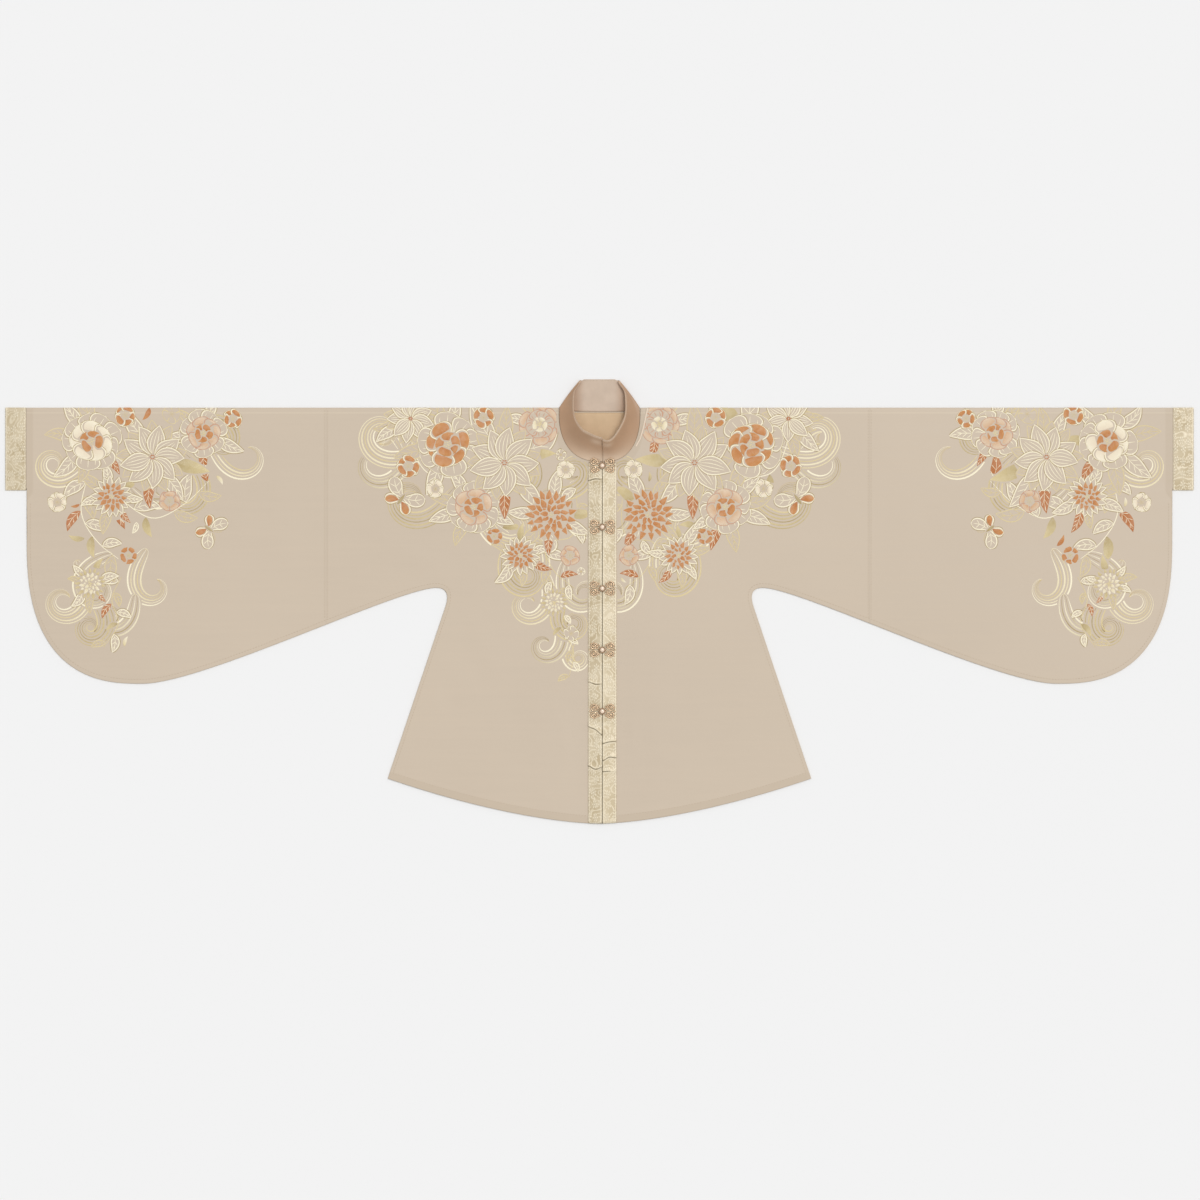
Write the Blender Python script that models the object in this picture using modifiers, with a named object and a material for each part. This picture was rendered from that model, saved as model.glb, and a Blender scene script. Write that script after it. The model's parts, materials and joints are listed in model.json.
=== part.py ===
"""Hanfu jacket laid flat, front up: wide rounded sleeves cut in one line with the shoulder,
standing collar, brocade cuffs and front bands, and a row of metal clasps.

Metres, +Z up. The garment lies on z = 0 with the collar towards +Y and the hem towards -Y.
Places on the cloth are given as (x, v): x across, v the distance below the shoulder fold.
"""
import bpy
import bmesh
import numpy as np
from math import pi

# Cut of the garment
SPAN = 2.100                # cuff to cuff, over both sleeves
LENGTH = 0.7347             # shoulder fold to the middle of the hem
HEM_HALF = 0.374            # half width at the hem
HEM_RISE = 0.0796           # how far the hem climbs from the middle to the side
HEM_POWER = 1.6
COLLAR_RISE = 0.0505        # the flat back collar above the shoulder fold
SHOULDER_Y = (LENGTH - COLLAR_RISE) / 2.0
FRONT_X = 0.005             # the closed front edges meet here, a little off the middle
CUFF_DEEP = 0.0363
CUFF_TALL = 0.145
SLEEVE_END = SPAN / 2.0 - CUFF_DEEP
SEAM_GAP = 0.0003           # clear space between two pieces at a seam
SEAM_X = {"left": 0.4830, "right": 0.4775}
SIDE = {"left": -1.0, "right": 1.0}

# Side and underarm
SIDE_TOP = (0.2722, 0.3520)
UNDERARM = (0.2890, 0.3175)
SIDE_BOTTOM = (HEM_HALF, LENGTH - HEM_RISE)
SIDE_STEER = 0.024
SLEEVE_STEER = 0.019

# Lower sleeve edge: one long sweep, then a rounded end
SWEEP_OUT = 0.065
SWEEP_IN = 0.105
ROUND_X = 0.808
ROUND_V = 0.230
LOWEST = 0.487
ROUND_POWER = 2.6
MOUTH_STEP = 0.0016         # the mouth stands this far beyond the closed edge below it

# Neckline, a rounded curve in front and a shallow one behind
NECK_HALF = 0.0725
NECK_FRONT = 0.0955
NECK_BACK = 0.007
NECK_POWER = 2.5

# Cloth
WALL = 0.0012
FOLD_R = 0.0009             # middle of the wall round a fold
LOFT = 0.0010               # how much further the front lies off the back away from its edges
LOFT_FROM_EDGE = 0.050
FLAT_BY_FRONT = 0.040       # the front lies level this far on each side of its opening
FRONT_TOP = WALL + 2 * FOLD_R

COLLAR_WALL = 0.0014
COLLAR_FOLD = 0.00085
BAND_WIDE = 0.0245
BAND_WALL = 0.0012
BAND_TOP = NECK_FRONT + 0.0020
CUFF_WALL = 0.0014
LINING_WALL = 0.0010
LINING_HALF = 0.058
LINING_TOP = 0.0085
LINING_DEEP = 0.086

# Clasps
CLASP_FIRST = 0.1020
CLASP_STEP = 0.1085
CLASPS = 5
WING_LONG = 0.0232
WING_HALF = 0.0122
WING_THICK = 0.0018
WING_SPLIT = 0.0010
BUTTON_R = 0.0060

MATERIALS = {
    "silk": dict(color=(0.615, 0.520, 0.425), roughness=0.55, metallic=0.0),
    "brocade": dict(color=(0.655, 0.560, 0.395), roughness=0.42, metallic=0.25),
    "collar": dict(color=(0.415, 0.290, 0.190), roughness=0.48, metallic=0.0),
    "lining": dict(color=(0.560, 0.410, 0.250), roughness=0.60, metallic=0.0),
    "clasp": dict(color=(0.720, 0.480, 0.360), roughness=0.30, metallic=1.0),
}


def material(name):
    """One Principled material, made once and shared by the pieces of that cloth or metal."""
    found = bpy.data.materials.get(name)
    if found:
        return found
    look = MATERIALS[name]
    made = bpy.data.materials.new(name)
    made.use_nodes = True
    shader = made.node_tree.nodes["Principled BSDF"]
    shader.inputs["Base Color"].default_value = (*look["color"], 1.0)
    shader.inputs["Roughness"].default_value = look["roughness"]
    shader.inputs["Metallic"].default_value = look["metallic"]
    return made


def place(points):
    """Garment places (x, v, z) as world points."""
    return np.stack([points[..., 0], SHOULDER_Y - points[..., 1], points[..., 2]], axis=-1)


def add_object(name, data, cloth, collection):
    piece = bpy.data.objects.new(name, data)
    data.materials.append(material(cloth))
    collection.objects.link(piece)
    piece.parent = bpy.data.objects["hanfu_jacket"]
    return piece


def sheet(name, points, wall, cloth, collection, ring=False):
    """A cloth wall on a grid of middle points: rows by columns, closed along the columns if ring."""
    rows, columns = points.shape[:2]
    if ring:
        points = np.concatenate([points, points[:, :1]], axis=1)
        columns += 1
    number = np.arange(rows * columns).reshape(rows, columns)
    quads = np.stack([number[:-1, :-1], number[:-1, 1:], number[1:, 1:], number[1:, :-1]], axis=-1)
    mesh = bpy.data.meshes.new(name)
    mesh.from_pydata(place(points).reshape(-1, 3).tolist(), [], quads.reshape(-1, 4).tolist())
    shape = bmesh.new()
    shape.from_mesh(mesh)
    bmesh.ops.remove_doubles(shape, verts=shape.verts, dist=0.00002)
    bmesh.ops.recalc_face_normals(shape, faces=shape.faces)
    shape.to_mesh(mesh)
    shape.free()
    mesh.shade_smooth()
    piece = add_object(name, mesh, cloth, collection)
    thick = piece.modifiers.new("wall", "SOLIDIFY")
    thick.thickness = wall
    thick.offset = 0.0
    return piece


def bezier(a, b, c, d, t):
    """Cubic curve through a and d, steered by b and c."""
    t = np.asarray(t)[:, None]
    a, b, c, d = (np.array(p) for p in (a, b, c, d))
    return (1 - t) ** 3 * a + 3 * t * (1 - t) ** 2 * b + 3 * t * t * (1 - t) * c + t ** 3 * d


def along(curve, count):
    """Evenly spaced points on a finely sampled curve."""
    step = np.linalg.norm(np.diff(curve, axis=0), axis=1)
    length = np.concatenate([[0.0], np.cumsum(step)])
    want = np.linspace(0.0, length[-1], count)
    return np.stack([np.interp(want, length, curve[:, k]) for k in range(curve.shape[1])], axis=1)


def hem(x):
    """The hem's place below the shoulder: lowest in the middle, higher towards the sides."""
    return LENGTH - HEM_RISE * (np.abs(x) / HEM_HALF) ** HEM_POWER


def underarm_curve():
    """Rounded corner from the side seam into the lower sleeve edge."""
    down = np.array(SIDE_BOTTOM) - np.array(SIDE_TOP)
    down /= np.linalg.norm(down)
    first = np.array(SIDE_TOP) - SIDE_STEER * down
    last = np.array(UNDERARM) - np.array([SLEEVE_STEER, 0.0])
    return bezier(SIDE_TOP, first, last, UNDERARM, np.linspace(0, 1, 60))


def sweep_curve():
    """Lower sleeve edge from the underarm to the lowest point."""
    start = np.array(UNDERARM)
    end = np.array([ROUND_X, LOWEST])
    steer_out = start + np.array([SWEEP_OUT, 0.0])
    steer_in = end - np.array([SWEEP_IN, 0.0])
    return bezier(start, steer_out, steer_in, end, np.linspace(0, 1, 200))


def round_curve():
    """Sleeve end from the lowest point up to the cuff: a quarter of a squarish oval."""
    t = np.linspace(0, pi / 2, 160)
    end = SLEEVE_END - MOUTH_STEP
    x = ROUND_X + (end - ROUND_X) * np.sin(t) ** (2 / ROUND_POWER)
    v = ROUND_V + (LOWEST - ROUND_V) * np.abs(np.cos(t)) ** (2 / ROUND_POWER)
    return np.concatenate([np.stack([x, v], axis=1), [[end, CUFF_TALL]]])


def outer_edge():
    """The closed edge of one half, from the hem corner round to the cuff."""
    side = np.linspace(SIDE_BOTTOM, SIDE_TOP, 60)
    mouth = [[SLEEVE_END, CUFF_TALL]]
    return np.concatenate([side, underarm_curve(), sweep_curve(), round_curve(), mouth])


EDGE = along(outer_edge(), 900)


def front_and_back(places, half, folded_ends):
    """Middle points of the back and the front over the same places (rows, columns, 2).

    Row 0 lies on the closed edge. The distance d to the nearest fold rounds both walls
    into each other over FOLD_R, and further in the front rises by LOFT * (1 - e^(-d/LOFT_FROM_EDGE)).
    """
    x, v = places[..., 0], places[..., 1]
    gap = np.linalg.norm(places[..., None, :] - EDGE, axis=-1).min(axis=-1)
    gap[0] = 0.0
    gap = np.minimum(gap, np.maximum(v, 0.0))
    if folded_ends is not None:
        gap[-1, folded_ends] = 0.0
    turn = np.clip(1.0 - gap / FOLD_R, 0.0, 1.0)
    half_open = FOLD_R * np.sqrt(1.0 - turn ** 2)
    middle = WALL / 2 + FOLD_R
    level = np.clip((np.abs(x * half - FRONT_X) - FLAT_BY_FRONT) / LOFT_FROM_EDGE, 0.0, 1.0)
    below = np.clip((hem(np.minimum(x, HEM_HALF)) - v) / LOFT_FROM_EDGE, 0.0, 1.0)
    rise = LOFT * (1.0 - np.exp(-np.maximum(gap - FOLD_R, 0.0) / LOFT_FROM_EDGE)) * level * below
    back = np.stack([x * half, v, middle - half_open], axis=-1)
    front = np.stack([x * half, v, middle + half_open + rise], axis=-1)
    return back, front


def fold_rows(length, folded_far, inner):
    """Fractions along a line of this length: close rows round a fold, wide rows between."""
    near = FOLD_R * (1.0 - np.cos(np.radians([0, 45, 90]))) / length
    far = 1.0 - near[::-1] if folded_far else np.linspace(1.0 - 0.030 / length, 1.0, 3)
    between = np.linspace(near[-1], far[0], inner + 2)[1:-1]
    return np.concatenate([near, between, far])


def lines(outer, inner, folded_far, count):
    """Points on straight lines from the closed edge to the inner edge, one column a line."""
    columns = []
    for a, b, folded in zip(outer, inner, folded_far):
        share = fold_rows(np.linalg.norm(b - a), folded, count)[:, None]
        columns.append(a + (b - a) * share)
    return np.stack(columns, axis=1)


NECK_TURNS = np.append(np.arange(12) / 12.0, [0.991, 1.0])


def neckline(depth, start):
    """Neck curve from the middle (x = start) to the neck point: a quarter of a squarish oval."""
    t = NECK_TURNS * pi / 2
    x = start + (NECK_HALF - start) * np.sin(t) ** (2 / NECK_POWER)
    v = depth * np.abs(np.cos(t)) ** (2 / NECK_POWER)
    v[-1] = 0.0
    return np.stack([x, v], axis=1)


def moved_in(curve, inset):
    """A neck curve moved towards the neck, square to itself."""
    run = np.gradient(curve, axis=0)
    square = np.stack([run[:, 1], -run[:, 0]], axis=1)
    square /= np.linalg.norm(square, axis=1)[:, None]
    return curve + square * inset[:, None]


def half_body(side, collection):
    """Front and back of one half, with the first part of the sleeve."""
    half = SIDE[side]
    seam_x = SEAM_X[side]
    sweep = sweep_curve()
    to_seam = sweep[sweep[:, 0] <= seam_x]
    seam_v = np.interp(seam_x, sweep[:, 0], sweep[:, 1])
    to_seam = np.concatenate([to_seam, [[seam_x, seam_v]]])
    outer = np.concatenate([
        np.linspace(SIDE_BOTTOM, SIDE_TOP, 7)[:-1],
        along(np.concatenate([underarm_curve(), to_seam[:6]]), 22)[:-1],
        along(to_seam[5:], 6),
    ])
    fan_top = SIDE_TOP[1] + 0.008
    shoulder = np.linspace(NECK_HALF, 0.220, 5)[1:]
    arm = np.linspace(0.220, seam_x, 6)[1:]
    shells = []
    front_edge = half * FRONT_X + SEAM_GAP / 2
    for edge_x, depth in ((SEAM_GAP / 2, NECK_BACK), (front_edge, NECK_FRONT)):
        straight = np.concatenate([
            np.linspace(hem(edge_x), fan_top, 7)[:-1],
            np.linspace(fan_top, depth, 5)[:-1],
        ])
        inner = np.concatenate([
            np.stack([np.full(len(straight), edge_x), straight], axis=1),
            neckline(depth, edge_x),
            np.stack([shoulder, np.zeros(4)], axis=1),
            np.stack([arm, np.zeros(5)], axis=1),
        ])
        folded = np.arange(len(inner)) >= 23
        places = lines(outer, inner, folded, 4)
        hem_share = np.clip(1.0 - np.arange(len(outer)) / 6.0, 0.0, 1.0) ** 2
        straight_v = places[:, :1, 1]
        bend = hem(places[:, :1, 0]) - straight_v
        places[..., 1] += bend * hem_share
        back, front = front_and_back(places, half, folded)
        shells.append(front if depth == NECK_FRONT else back)
    both = np.concatenate([shells[0][::-1], shells[1][1:]])
    return sheet("body_" + side, both, WALL, "silk", collection)


def sleeve(side, collection):
    """The wide sleeve, closed along its top fold and its rounded lower edge."""
    seam_x = SEAM_X[side] + SEAM_GAP
    lower = np.concatenate([sweep_curve(), round_curve()])
    seam_v = np.interp(seam_x, sweep_curve()[:, 0], sweep_curve()[:, 1])
    lower = np.concatenate([[[seam_x, seam_v]], lower[lower[:, 0] > seam_x]])
    outer = np.concatenate([along(lower, 17), [[SLEEVE_END, CUFF_TALL]]])
    top = np.append(np.linspace(seam_x, SLEEVE_END - MOUTH_STEP, 17), SLEEVE_END)
    inner = np.stack([top, np.zeros(18)], axis=1)
    folded = np.ones(18, dtype=bool)
    places = lines(outer, inner, folded, 4)
    back, front = front_and_back(places, SIDE[side], folded)
    both = np.concatenate([back[::-1], front[1:]])
    return sheet("sleeve_" + side, both, WALL, "silk", collection)


def cuff(side, collection):
    """Flat tube at the sleeve mouth: a long round-ended loop carried across its depth."""
    half_turn = np.radians([0, 45, 90, 135, 180])
    radius = FOLD_R
    top = np.stack([radius - radius * np.sin(half_turn), radius * np.cos(half_turn)], axis=1)
    low = np.stack([CUFF_TALL - radius + radius * np.sin(half_turn), -radius * np.cos(half_turn)], axis=1)
    down = np.linspace(radius, CUFF_TALL - radius, 5)[1:-1]
    back = np.stack([down, np.full(3, -radius)], axis=1)
    front = np.stack([down[::-1], np.full(3, radius)], axis=1)
    loop = np.concatenate([top, back, low, front])
    x = np.linspace(SLEEVE_END + SEAM_GAP, SPAN / 2, 4) * SIDE[side]
    points = np.empty((4, len(loop), 3))
    points[..., 0] = x[:, None]
    points[..., 1] = loop[:, 0]
    points[..., 2] = CUFF_WALL / 2 + radius + loop[:, 1]
    return sheet("cuff_" + side, points, CUFF_WALL, "brocade", collection, ring=True)


# Soft creases pressed across the front bands, height above the band
CREASES = {
    "left": [dict(v=0.1250, rise=0.0010, slant=0.0), dict(v=0.4860, rise=0.0008, slant=0.1),
             dict(v=0.5700, rise=0.0012, slant=0.5), dict(v=0.6350, rise=0.0008, slant=-0.1)],
    "right": [dict(v=0.5900, rise=0.0008, slant=0.1), dict(v=0.6180, rise=0.0012, slant=-0.3),
              dict(v=0.6420, rise=0.0008, slant=0.0)],
}
CREASE_HALF = 0.0040


def band(side, collection):
    """Front band: a strip on the front, lifted at its creases."""
    half = SIDE[side]
    near = FRONT_X + half * SEAM_GAP / 2
    far = near + half * BAND_WIDE
    across = np.linspace(0.0, 1.0, 3)
    creases = CREASES[side]
    spots = [c["v"] + k * CREASE_HALF for c in creases for k in (-1, 0, 1)]
    plain = [v for v in np.linspace(BAND_TOP, LENGTH, 17)[1:-1] if min(abs(v - s) for s in spots) > 0.008]
    down = np.array(sorted([BAND_TOP, LENGTH] + spots + plain))
    points = np.empty((len(down), 3, 3))
    points[..., 0] = near + (far - near) * across
    end = hem(points[..., 0]) - LENGTH
    points[..., 1] = down[:, None] + end * (down[:, None] - BAND_TOP) / (LENGTH - BAND_TOP)
    lift = np.zeros((len(down), 3))
    for crease in creases:
        on = np.abs(down - crease["v"]) < CREASE_HALF / 2
        near_crease = np.abs(down - crease["v"]) < CREASE_HALF * 1.5
        lift[on] += crease["rise"]
        points[near_crease, :, 1] += crease["slant"] * BAND_WIDE * (across - 0.5)
    points[..., 2] = FRONT_TOP + SEAM_GAP + BAND_WALL / 2 + lift
    return sheet("band_" + side, points, BAND_WALL, "brocade", collection)


# Upper edge of the standing collar seen from above. turn runs from the front ends (0) to the
# neck point (1); the far end of the table meets the fold that lays the back half flat.
COLLAR_EDGE = {
    "right": [dict(turn=0.00, x=0.0052, v=0.0570, z=0.0285), dict(turn=0.10, x=0.0140, v=0.0590, z=0.0296),
              dict(turn=0.24, x=0.0240, v=0.0530, z=0.0290), dict(turn=0.38, x=0.0325, v=0.0405, z=0.0275),
              dict(turn=0.50, x=0.0400, v=0.0265, z=0.0255), dict(turn=0.63, x=0.0448, v=0.0120, z=0.0225),
              dict(turn=0.78, x=0.0456, v=-0.0100, z=0.0165), dict(turn=0.91, x=0.0425, v=-0.0315, z=0.0105),
              dict(turn=1.00, x=0.0322, v=-0.0460, z=0.0069)],
    "left": [dict(turn=0.00, x=-0.0048, v=0.0545, z=0.0290), dict(turn=0.10, x=0.0065, v=0.0510, z=0.0300),
             dict(turn=0.24, x=0.0180, v=0.0455, z=0.0295), dict(turn=0.38, x=0.0290, v=0.0395, z=0.0282),
             dict(turn=0.50, x=0.0380, v=0.0280, z=0.0258), dict(turn=0.63, x=0.0440, v=0.0130, z=0.0225),
             dict(turn=0.78, x=0.0452, v=-0.0100, z=0.0165), dict(turn=0.91, x=0.0420, v=-0.0330, z=0.0105),
             dict(turn=1.00, x=0.0322, v=-0.0460, z=0.0069)],
}
BACK_CORNER = (0.0285, -0.0497)
FOLD_OUT = ((0.76, -0.65), (0.95, -0.30))       # way the side fold rolls out: at the seam, at the edge
FOLD_SLIDE = (-0.0010, -0.0025)                 # the fold's lower side against its upper, at the edge


def smooth_rows(table, turns):
    """Catmull-Rom curve through the table's rows, read at the turns asked for."""
    at = np.array([row["turn"] for row in table])
    values = np.array([[row["x"], row["v"], row["z"]] for row in table])
    slope = np.gradient(values, at, axis=0)
    k = np.clip(np.searchsorted(at, turns, side="right") - 1, 0, len(at) - 2)
    span = (at[k + 1] - at[k])[:, None]
    t = ((turns - at[k]) / (at[k + 1] - at[k]))[:, None]
    return ((2 * t ** 3 - 3 * t ** 2 + 1) * values[k] + (t ** 3 - 2 * t ** 2 + t) * span * slope[k]
            + (3 * t ** 2 - 2 * t ** 3) * values[k + 1] + (t ** 3 - t ** 2) * span * slope[k + 1])


def collar_half(side, rows):
    """Points of one half from the front end to the middle of the back: rows up, columns round."""
    half = SIDE[side]
    turns = np.delete(NECK_TURNS, -2)
    front_end = half * FRONT_X + SEAM_GAP / 2
    inset = SEAM_GAP + 2 * COLLAR_FOLD * NECK_TURNS ** 8
    seam = np.delete(moved_in(neckline(NECK_FRONT, front_end), inset), -2, axis=0)
    seam = np.column_stack([seam, np.full(13, COLLAR_WALL / 2 + 2 * COLLAR_FOLD)])
    seam[0, 0] = front_end
    seam[-1, 1] = COLLAR_FOLD
    edge = smooth_rows(COLLAR_EDGE[side], turns)
    edge[0, 0] = front_end
    up = np.linspace(0.0, 1.0, rows)[:, None]
    steep = 1.7 - 0.7 * turns
    upper = seam[None] + (edge - seam)[None] * up[..., None]
    upper[..., 2] = seam[:, 2] + (edge - seam)[:, 2] * up ** steep
    swell = 0.0012 * np.sin(pi * up) * turns ** 4
    upper[..., 0] += swell * 0.76
    upper[..., 1] -= swell * 0.65
    fold = (upper[:, -1, 2] - COLLAR_WALL / 2) / 2
    arc = np.radians([45, 90, 135, 180])
    out = np.array(FOLD_OUT[0]) + (np.array(FOLD_OUT[1]) - np.array(FOLD_OUT[0])) * up
    slide = np.array(FOLD_SLIDE) * up
    rolled = np.empty((rows, 4, 3))
    for k in (0, 1):
        under = slide[:, k:k + 1] * (1.0 - np.cos(arc)) / 2
        rolled[..., k] = upper[:, -1:, k] + under + fold[:, None] * np.sin(arc) * out[:, k:k + 1]
    rolled[..., 2] = COLLAR_WALL / 2 + fold[:, None] * (1.0 + np.cos(arc))
    behind = moved_in(neckline(NECK_BACK, 0.0), np.full(14, SEAM_GAP))
    low = behind[8::-1]
    low[-1, 0] = 0.0
    corner_x, corner_v = BACK_CORNER
    high_x = corner_x * low[:, 0] / low[0, 0]
    high = np.column_stack([high_x, np.full(9, -COLLAR_RISE)])
    high[0, 1] = corner_v
    flat = np.empty((rows, 9, 3))
    flat[..., :2] = low + (high - low) * up[..., None]
    flat[..., 2] = COLLAR_WALL / 2
    points = np.concatenate([upper, rolled, flat], axis=1)
    points[..., 0] *= half
    return points


def collar(collection):
    """One strip round the neck: it rises from the front neckline and lies flat behind."""
    right = collar_half("right", 7)
    left = collar_half("left", 7)
    points = np.concatenate([right, left[:, -2::-1]], axis=1)
    return sheet("collar", points, COLLAR_WALL, "collar", collection)


def flat_outline(name, outline, z, thick, cloth, collection):
    """A plate cut to an outline (x, v), its lower face at z."""
    curve = bpy.data.curves.new(name, "CURVE")
    curve.dimensions = "2D"
    curve.fill_mode = "BOTH"
    curve.extrude = thick / 2
    line = curve.splines.new("POLY")
    line.points.add(len(outline) - 1)
    line.use_cyclic_u = True
    for point, (x, v) in zip(line.points, outline):
        point.co = (x, SHOULDER_Y - v, 0.0, 1.0)
    piece = add_object(name, curve, cloth, collection)
    piece.location.z = z + thick / 2
    return piece


def back_lining(collection):
    """The lining inside the back neck: level at the seam, an oval below."""
    t = np.linspace(0, pi, 17)
    x = LINING_HALF * np.cos(t)
    v = LINING_TOP + (LINING_DEEP - LINING_TOP) * np.sin(t) ** (2 / NECK_POWER)
    outline = np.stack([x, v], axis=1)
    return flat_outline("back_lining", outline, WALL + SEAM_GAP, LINING_WALL, "lining", collection)


def wing(name, side, v, z, collection):
    """One half of a clasp: a cloud-edged fan, r = half oval * (1 + ripple of the angle)."""
    half = SIDE[side]
    a = np.linspace(-pi / 2, pi / 2, 25)
    oval = ((np.cos(a) / WING_LONG) ** 2 + (np.sin(a) / WING_HALF) ** 2) ** -0.5
    reach = oval * (1.0 + 0.07 * np.cos(7 * a) * np.cos(a) ** 0.5)
    outline = np.stack([FRONT_X + half * (WING_SPLIT + reach * np.cos(a)), v + reach * np.sin(a)], axis=1)
    return flat_outline(name, outline, z, WING_THICK, "clasp", collection)


def button(name, v, z, collection):
    """Turned button: a rimmed disc with a domed middle."""
    profile = [
        (0.0, 0.0036), (0.0024, 0.0032), (0.0040, 0.0018), (0.0050, 0.0022),
        (BUTTON_R, 0.0012), (BUTTON_R, 0.0), (0.0, 0.0),
    ]
    mesh = bpy.data.meshes.new(name)
    edges = [(k, k + 1) for k in range(len(profile) - 1)]
    mesh.from_pydata([(r, 0.0, h) for r, h in profile], edges, [])
    piece = add_object(name, mesh, "clasp", collection)
    piece.location = (FRONT_X, SHOULDER_Y - v, z)
    spin = piece.modifiers.new("turn", "SCREW")
    spin.steps = 16
    spin.render_steps = 16
    spin.use_merge_vertices = True
    spin.merge_threshold = 0.0001
    return piece


def clasps(collection):
    """Each clasp: two wings on the bands and the button that joins them."""
    wing_z = FRONT_TOP + SEAM_GAP + BAND_WALL + SEAM_GAP
    button_z = wing_z + WING_THICK + SEAM_GAP
    for number in range(CLASPS):
        v = CLASP_FIRST + number * CLASP_STEP
        name = f"clasp_{number + 1}"
        wing(name + "_left", "left", v, wing_z, collection)
        wing(name + "_right", "right", v, wing_z, collection)
        button(name + "_button", v, button_z, collection)


def main():
    for old in list(bpy.data.objects):
        bpy.data.objects.remove(old, do_unlink=True)
    collection = bpy.data.collections.new("hanfu_jacket")
    bpy.context.scene.collection.children.link(collection)
    root = bpy.data.objects.new("hanfu_jacket", None)
    collection.objects.link(root)
    for side in ("left", "right"):
        half_body(side, collection)
        sleeve(side, collection)
        cuff(side, collection)
        band(side, collection)
    collar(collection)
    back_lining(collection)
    clasps(collection)


main()
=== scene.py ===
"""Hanfu jacket, dressed: silk shells, embroidery, brocade trim, satin collar, openwork clasps.

Metres, +Z up. The garment lies on z = 0 with the collar towards +Y and the hem towards -Y.
A place on the cloth is (x, v): x across, v the distance below the shoulder fold. Embroidery
uses (x, s) on one half, x outwards and s the way along the cloth over the shoulder fold:
positive down the front, negative down the back. Such places are kept as complex x + i s.
"""
import json
from math import pi

import bmesh
import bpy
import numpy as np
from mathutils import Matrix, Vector

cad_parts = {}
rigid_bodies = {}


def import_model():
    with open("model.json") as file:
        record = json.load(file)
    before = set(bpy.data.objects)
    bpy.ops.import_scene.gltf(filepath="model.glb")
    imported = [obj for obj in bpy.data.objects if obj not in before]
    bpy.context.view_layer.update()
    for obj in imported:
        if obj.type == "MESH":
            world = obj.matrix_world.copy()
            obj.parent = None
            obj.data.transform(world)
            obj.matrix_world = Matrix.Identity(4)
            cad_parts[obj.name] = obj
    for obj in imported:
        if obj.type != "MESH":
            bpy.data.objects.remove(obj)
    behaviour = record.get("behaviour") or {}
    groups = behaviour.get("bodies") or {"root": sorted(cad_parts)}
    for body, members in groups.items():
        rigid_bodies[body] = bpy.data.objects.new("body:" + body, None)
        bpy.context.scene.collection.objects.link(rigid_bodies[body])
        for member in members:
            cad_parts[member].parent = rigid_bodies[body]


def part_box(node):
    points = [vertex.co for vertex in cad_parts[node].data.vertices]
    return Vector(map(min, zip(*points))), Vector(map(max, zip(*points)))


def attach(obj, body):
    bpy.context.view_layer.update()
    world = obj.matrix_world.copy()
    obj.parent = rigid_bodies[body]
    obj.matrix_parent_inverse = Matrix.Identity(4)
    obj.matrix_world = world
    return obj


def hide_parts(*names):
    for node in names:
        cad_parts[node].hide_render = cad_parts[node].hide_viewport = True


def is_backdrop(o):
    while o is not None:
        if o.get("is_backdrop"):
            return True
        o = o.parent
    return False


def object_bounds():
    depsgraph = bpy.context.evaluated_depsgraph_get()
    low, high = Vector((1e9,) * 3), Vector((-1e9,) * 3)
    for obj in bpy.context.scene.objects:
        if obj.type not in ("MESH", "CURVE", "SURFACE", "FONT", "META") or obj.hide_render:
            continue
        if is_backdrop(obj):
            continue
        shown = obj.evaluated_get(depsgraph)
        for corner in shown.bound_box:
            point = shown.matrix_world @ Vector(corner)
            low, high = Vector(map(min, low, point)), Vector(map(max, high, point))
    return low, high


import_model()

bl_info = {
    "name": "Hanfu jacket",
    "version": (1, 0, 0),
    "blender": (4, 5, 0),
    "location": "View3D > Sidebar > Jacket",
    "description": "Dresses the flat-laid hanfu jacket with silk, embroidery, brocade and clasps",
    "category": "Object",
}

SIDE = {"left": -1.0, "right": 1.0}
UP = np.array([0.0, 0.0, 1.0])


def box(node):
    low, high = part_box(node)
    return np.array(low), np.array(high)


# Cut of the garment, as in the solids
SPAN = box("cuff_right")[1][0] - box("cuff_left")[0][0]
LENGTH = 0.7347             # shoulder fold to the middle of the hem
HEM_HALF = 0.374
HEM_RISE = 0.0796
HEM_POWER = 1.6
COLLAR_RISE = 0.0505
SHOULDER_Y = (LENGTH - COLLAR_RISE) / 2.0
FRONT_X = 0.005             # the closed front edges meet here
CUFF_DEEP = 0.0363
CUFF_TALL = 0.145
SLEEVE_END = SPAN / 2.0 - CUFF_DEEP
SEAM_GAP = 0.0003
SEAM_SHUT = 0.00004         # what shows of the gap at the sleeve seam and the closed collar
SEAM_X = {"left": 0.4830, "right": 0.4775}

SIDE_TOP = (0.2722, 0.3520)
UNDERARM = (0.2890, 0.3175)
SIDE_BOTTOM = (HEM_HALF, LENGTH - HEM_RISE)
SIDE_STEER = 0.024
SLEEVE_STEER = 0.019
SWEEP_OUT = 0.065
SWEEP_IN = 0.105
ROUND_X = 0.808
ROUND_V = 0.230
LOWEST = 0.487
ROUND_POWER = 2.6
MOUTH_STEP = 0.0016

NECK_HALF = 0.0725
NECK_FRONT = 0.0955
NECK_BACK = 0.007
NECK_POWER = 2.5

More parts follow.
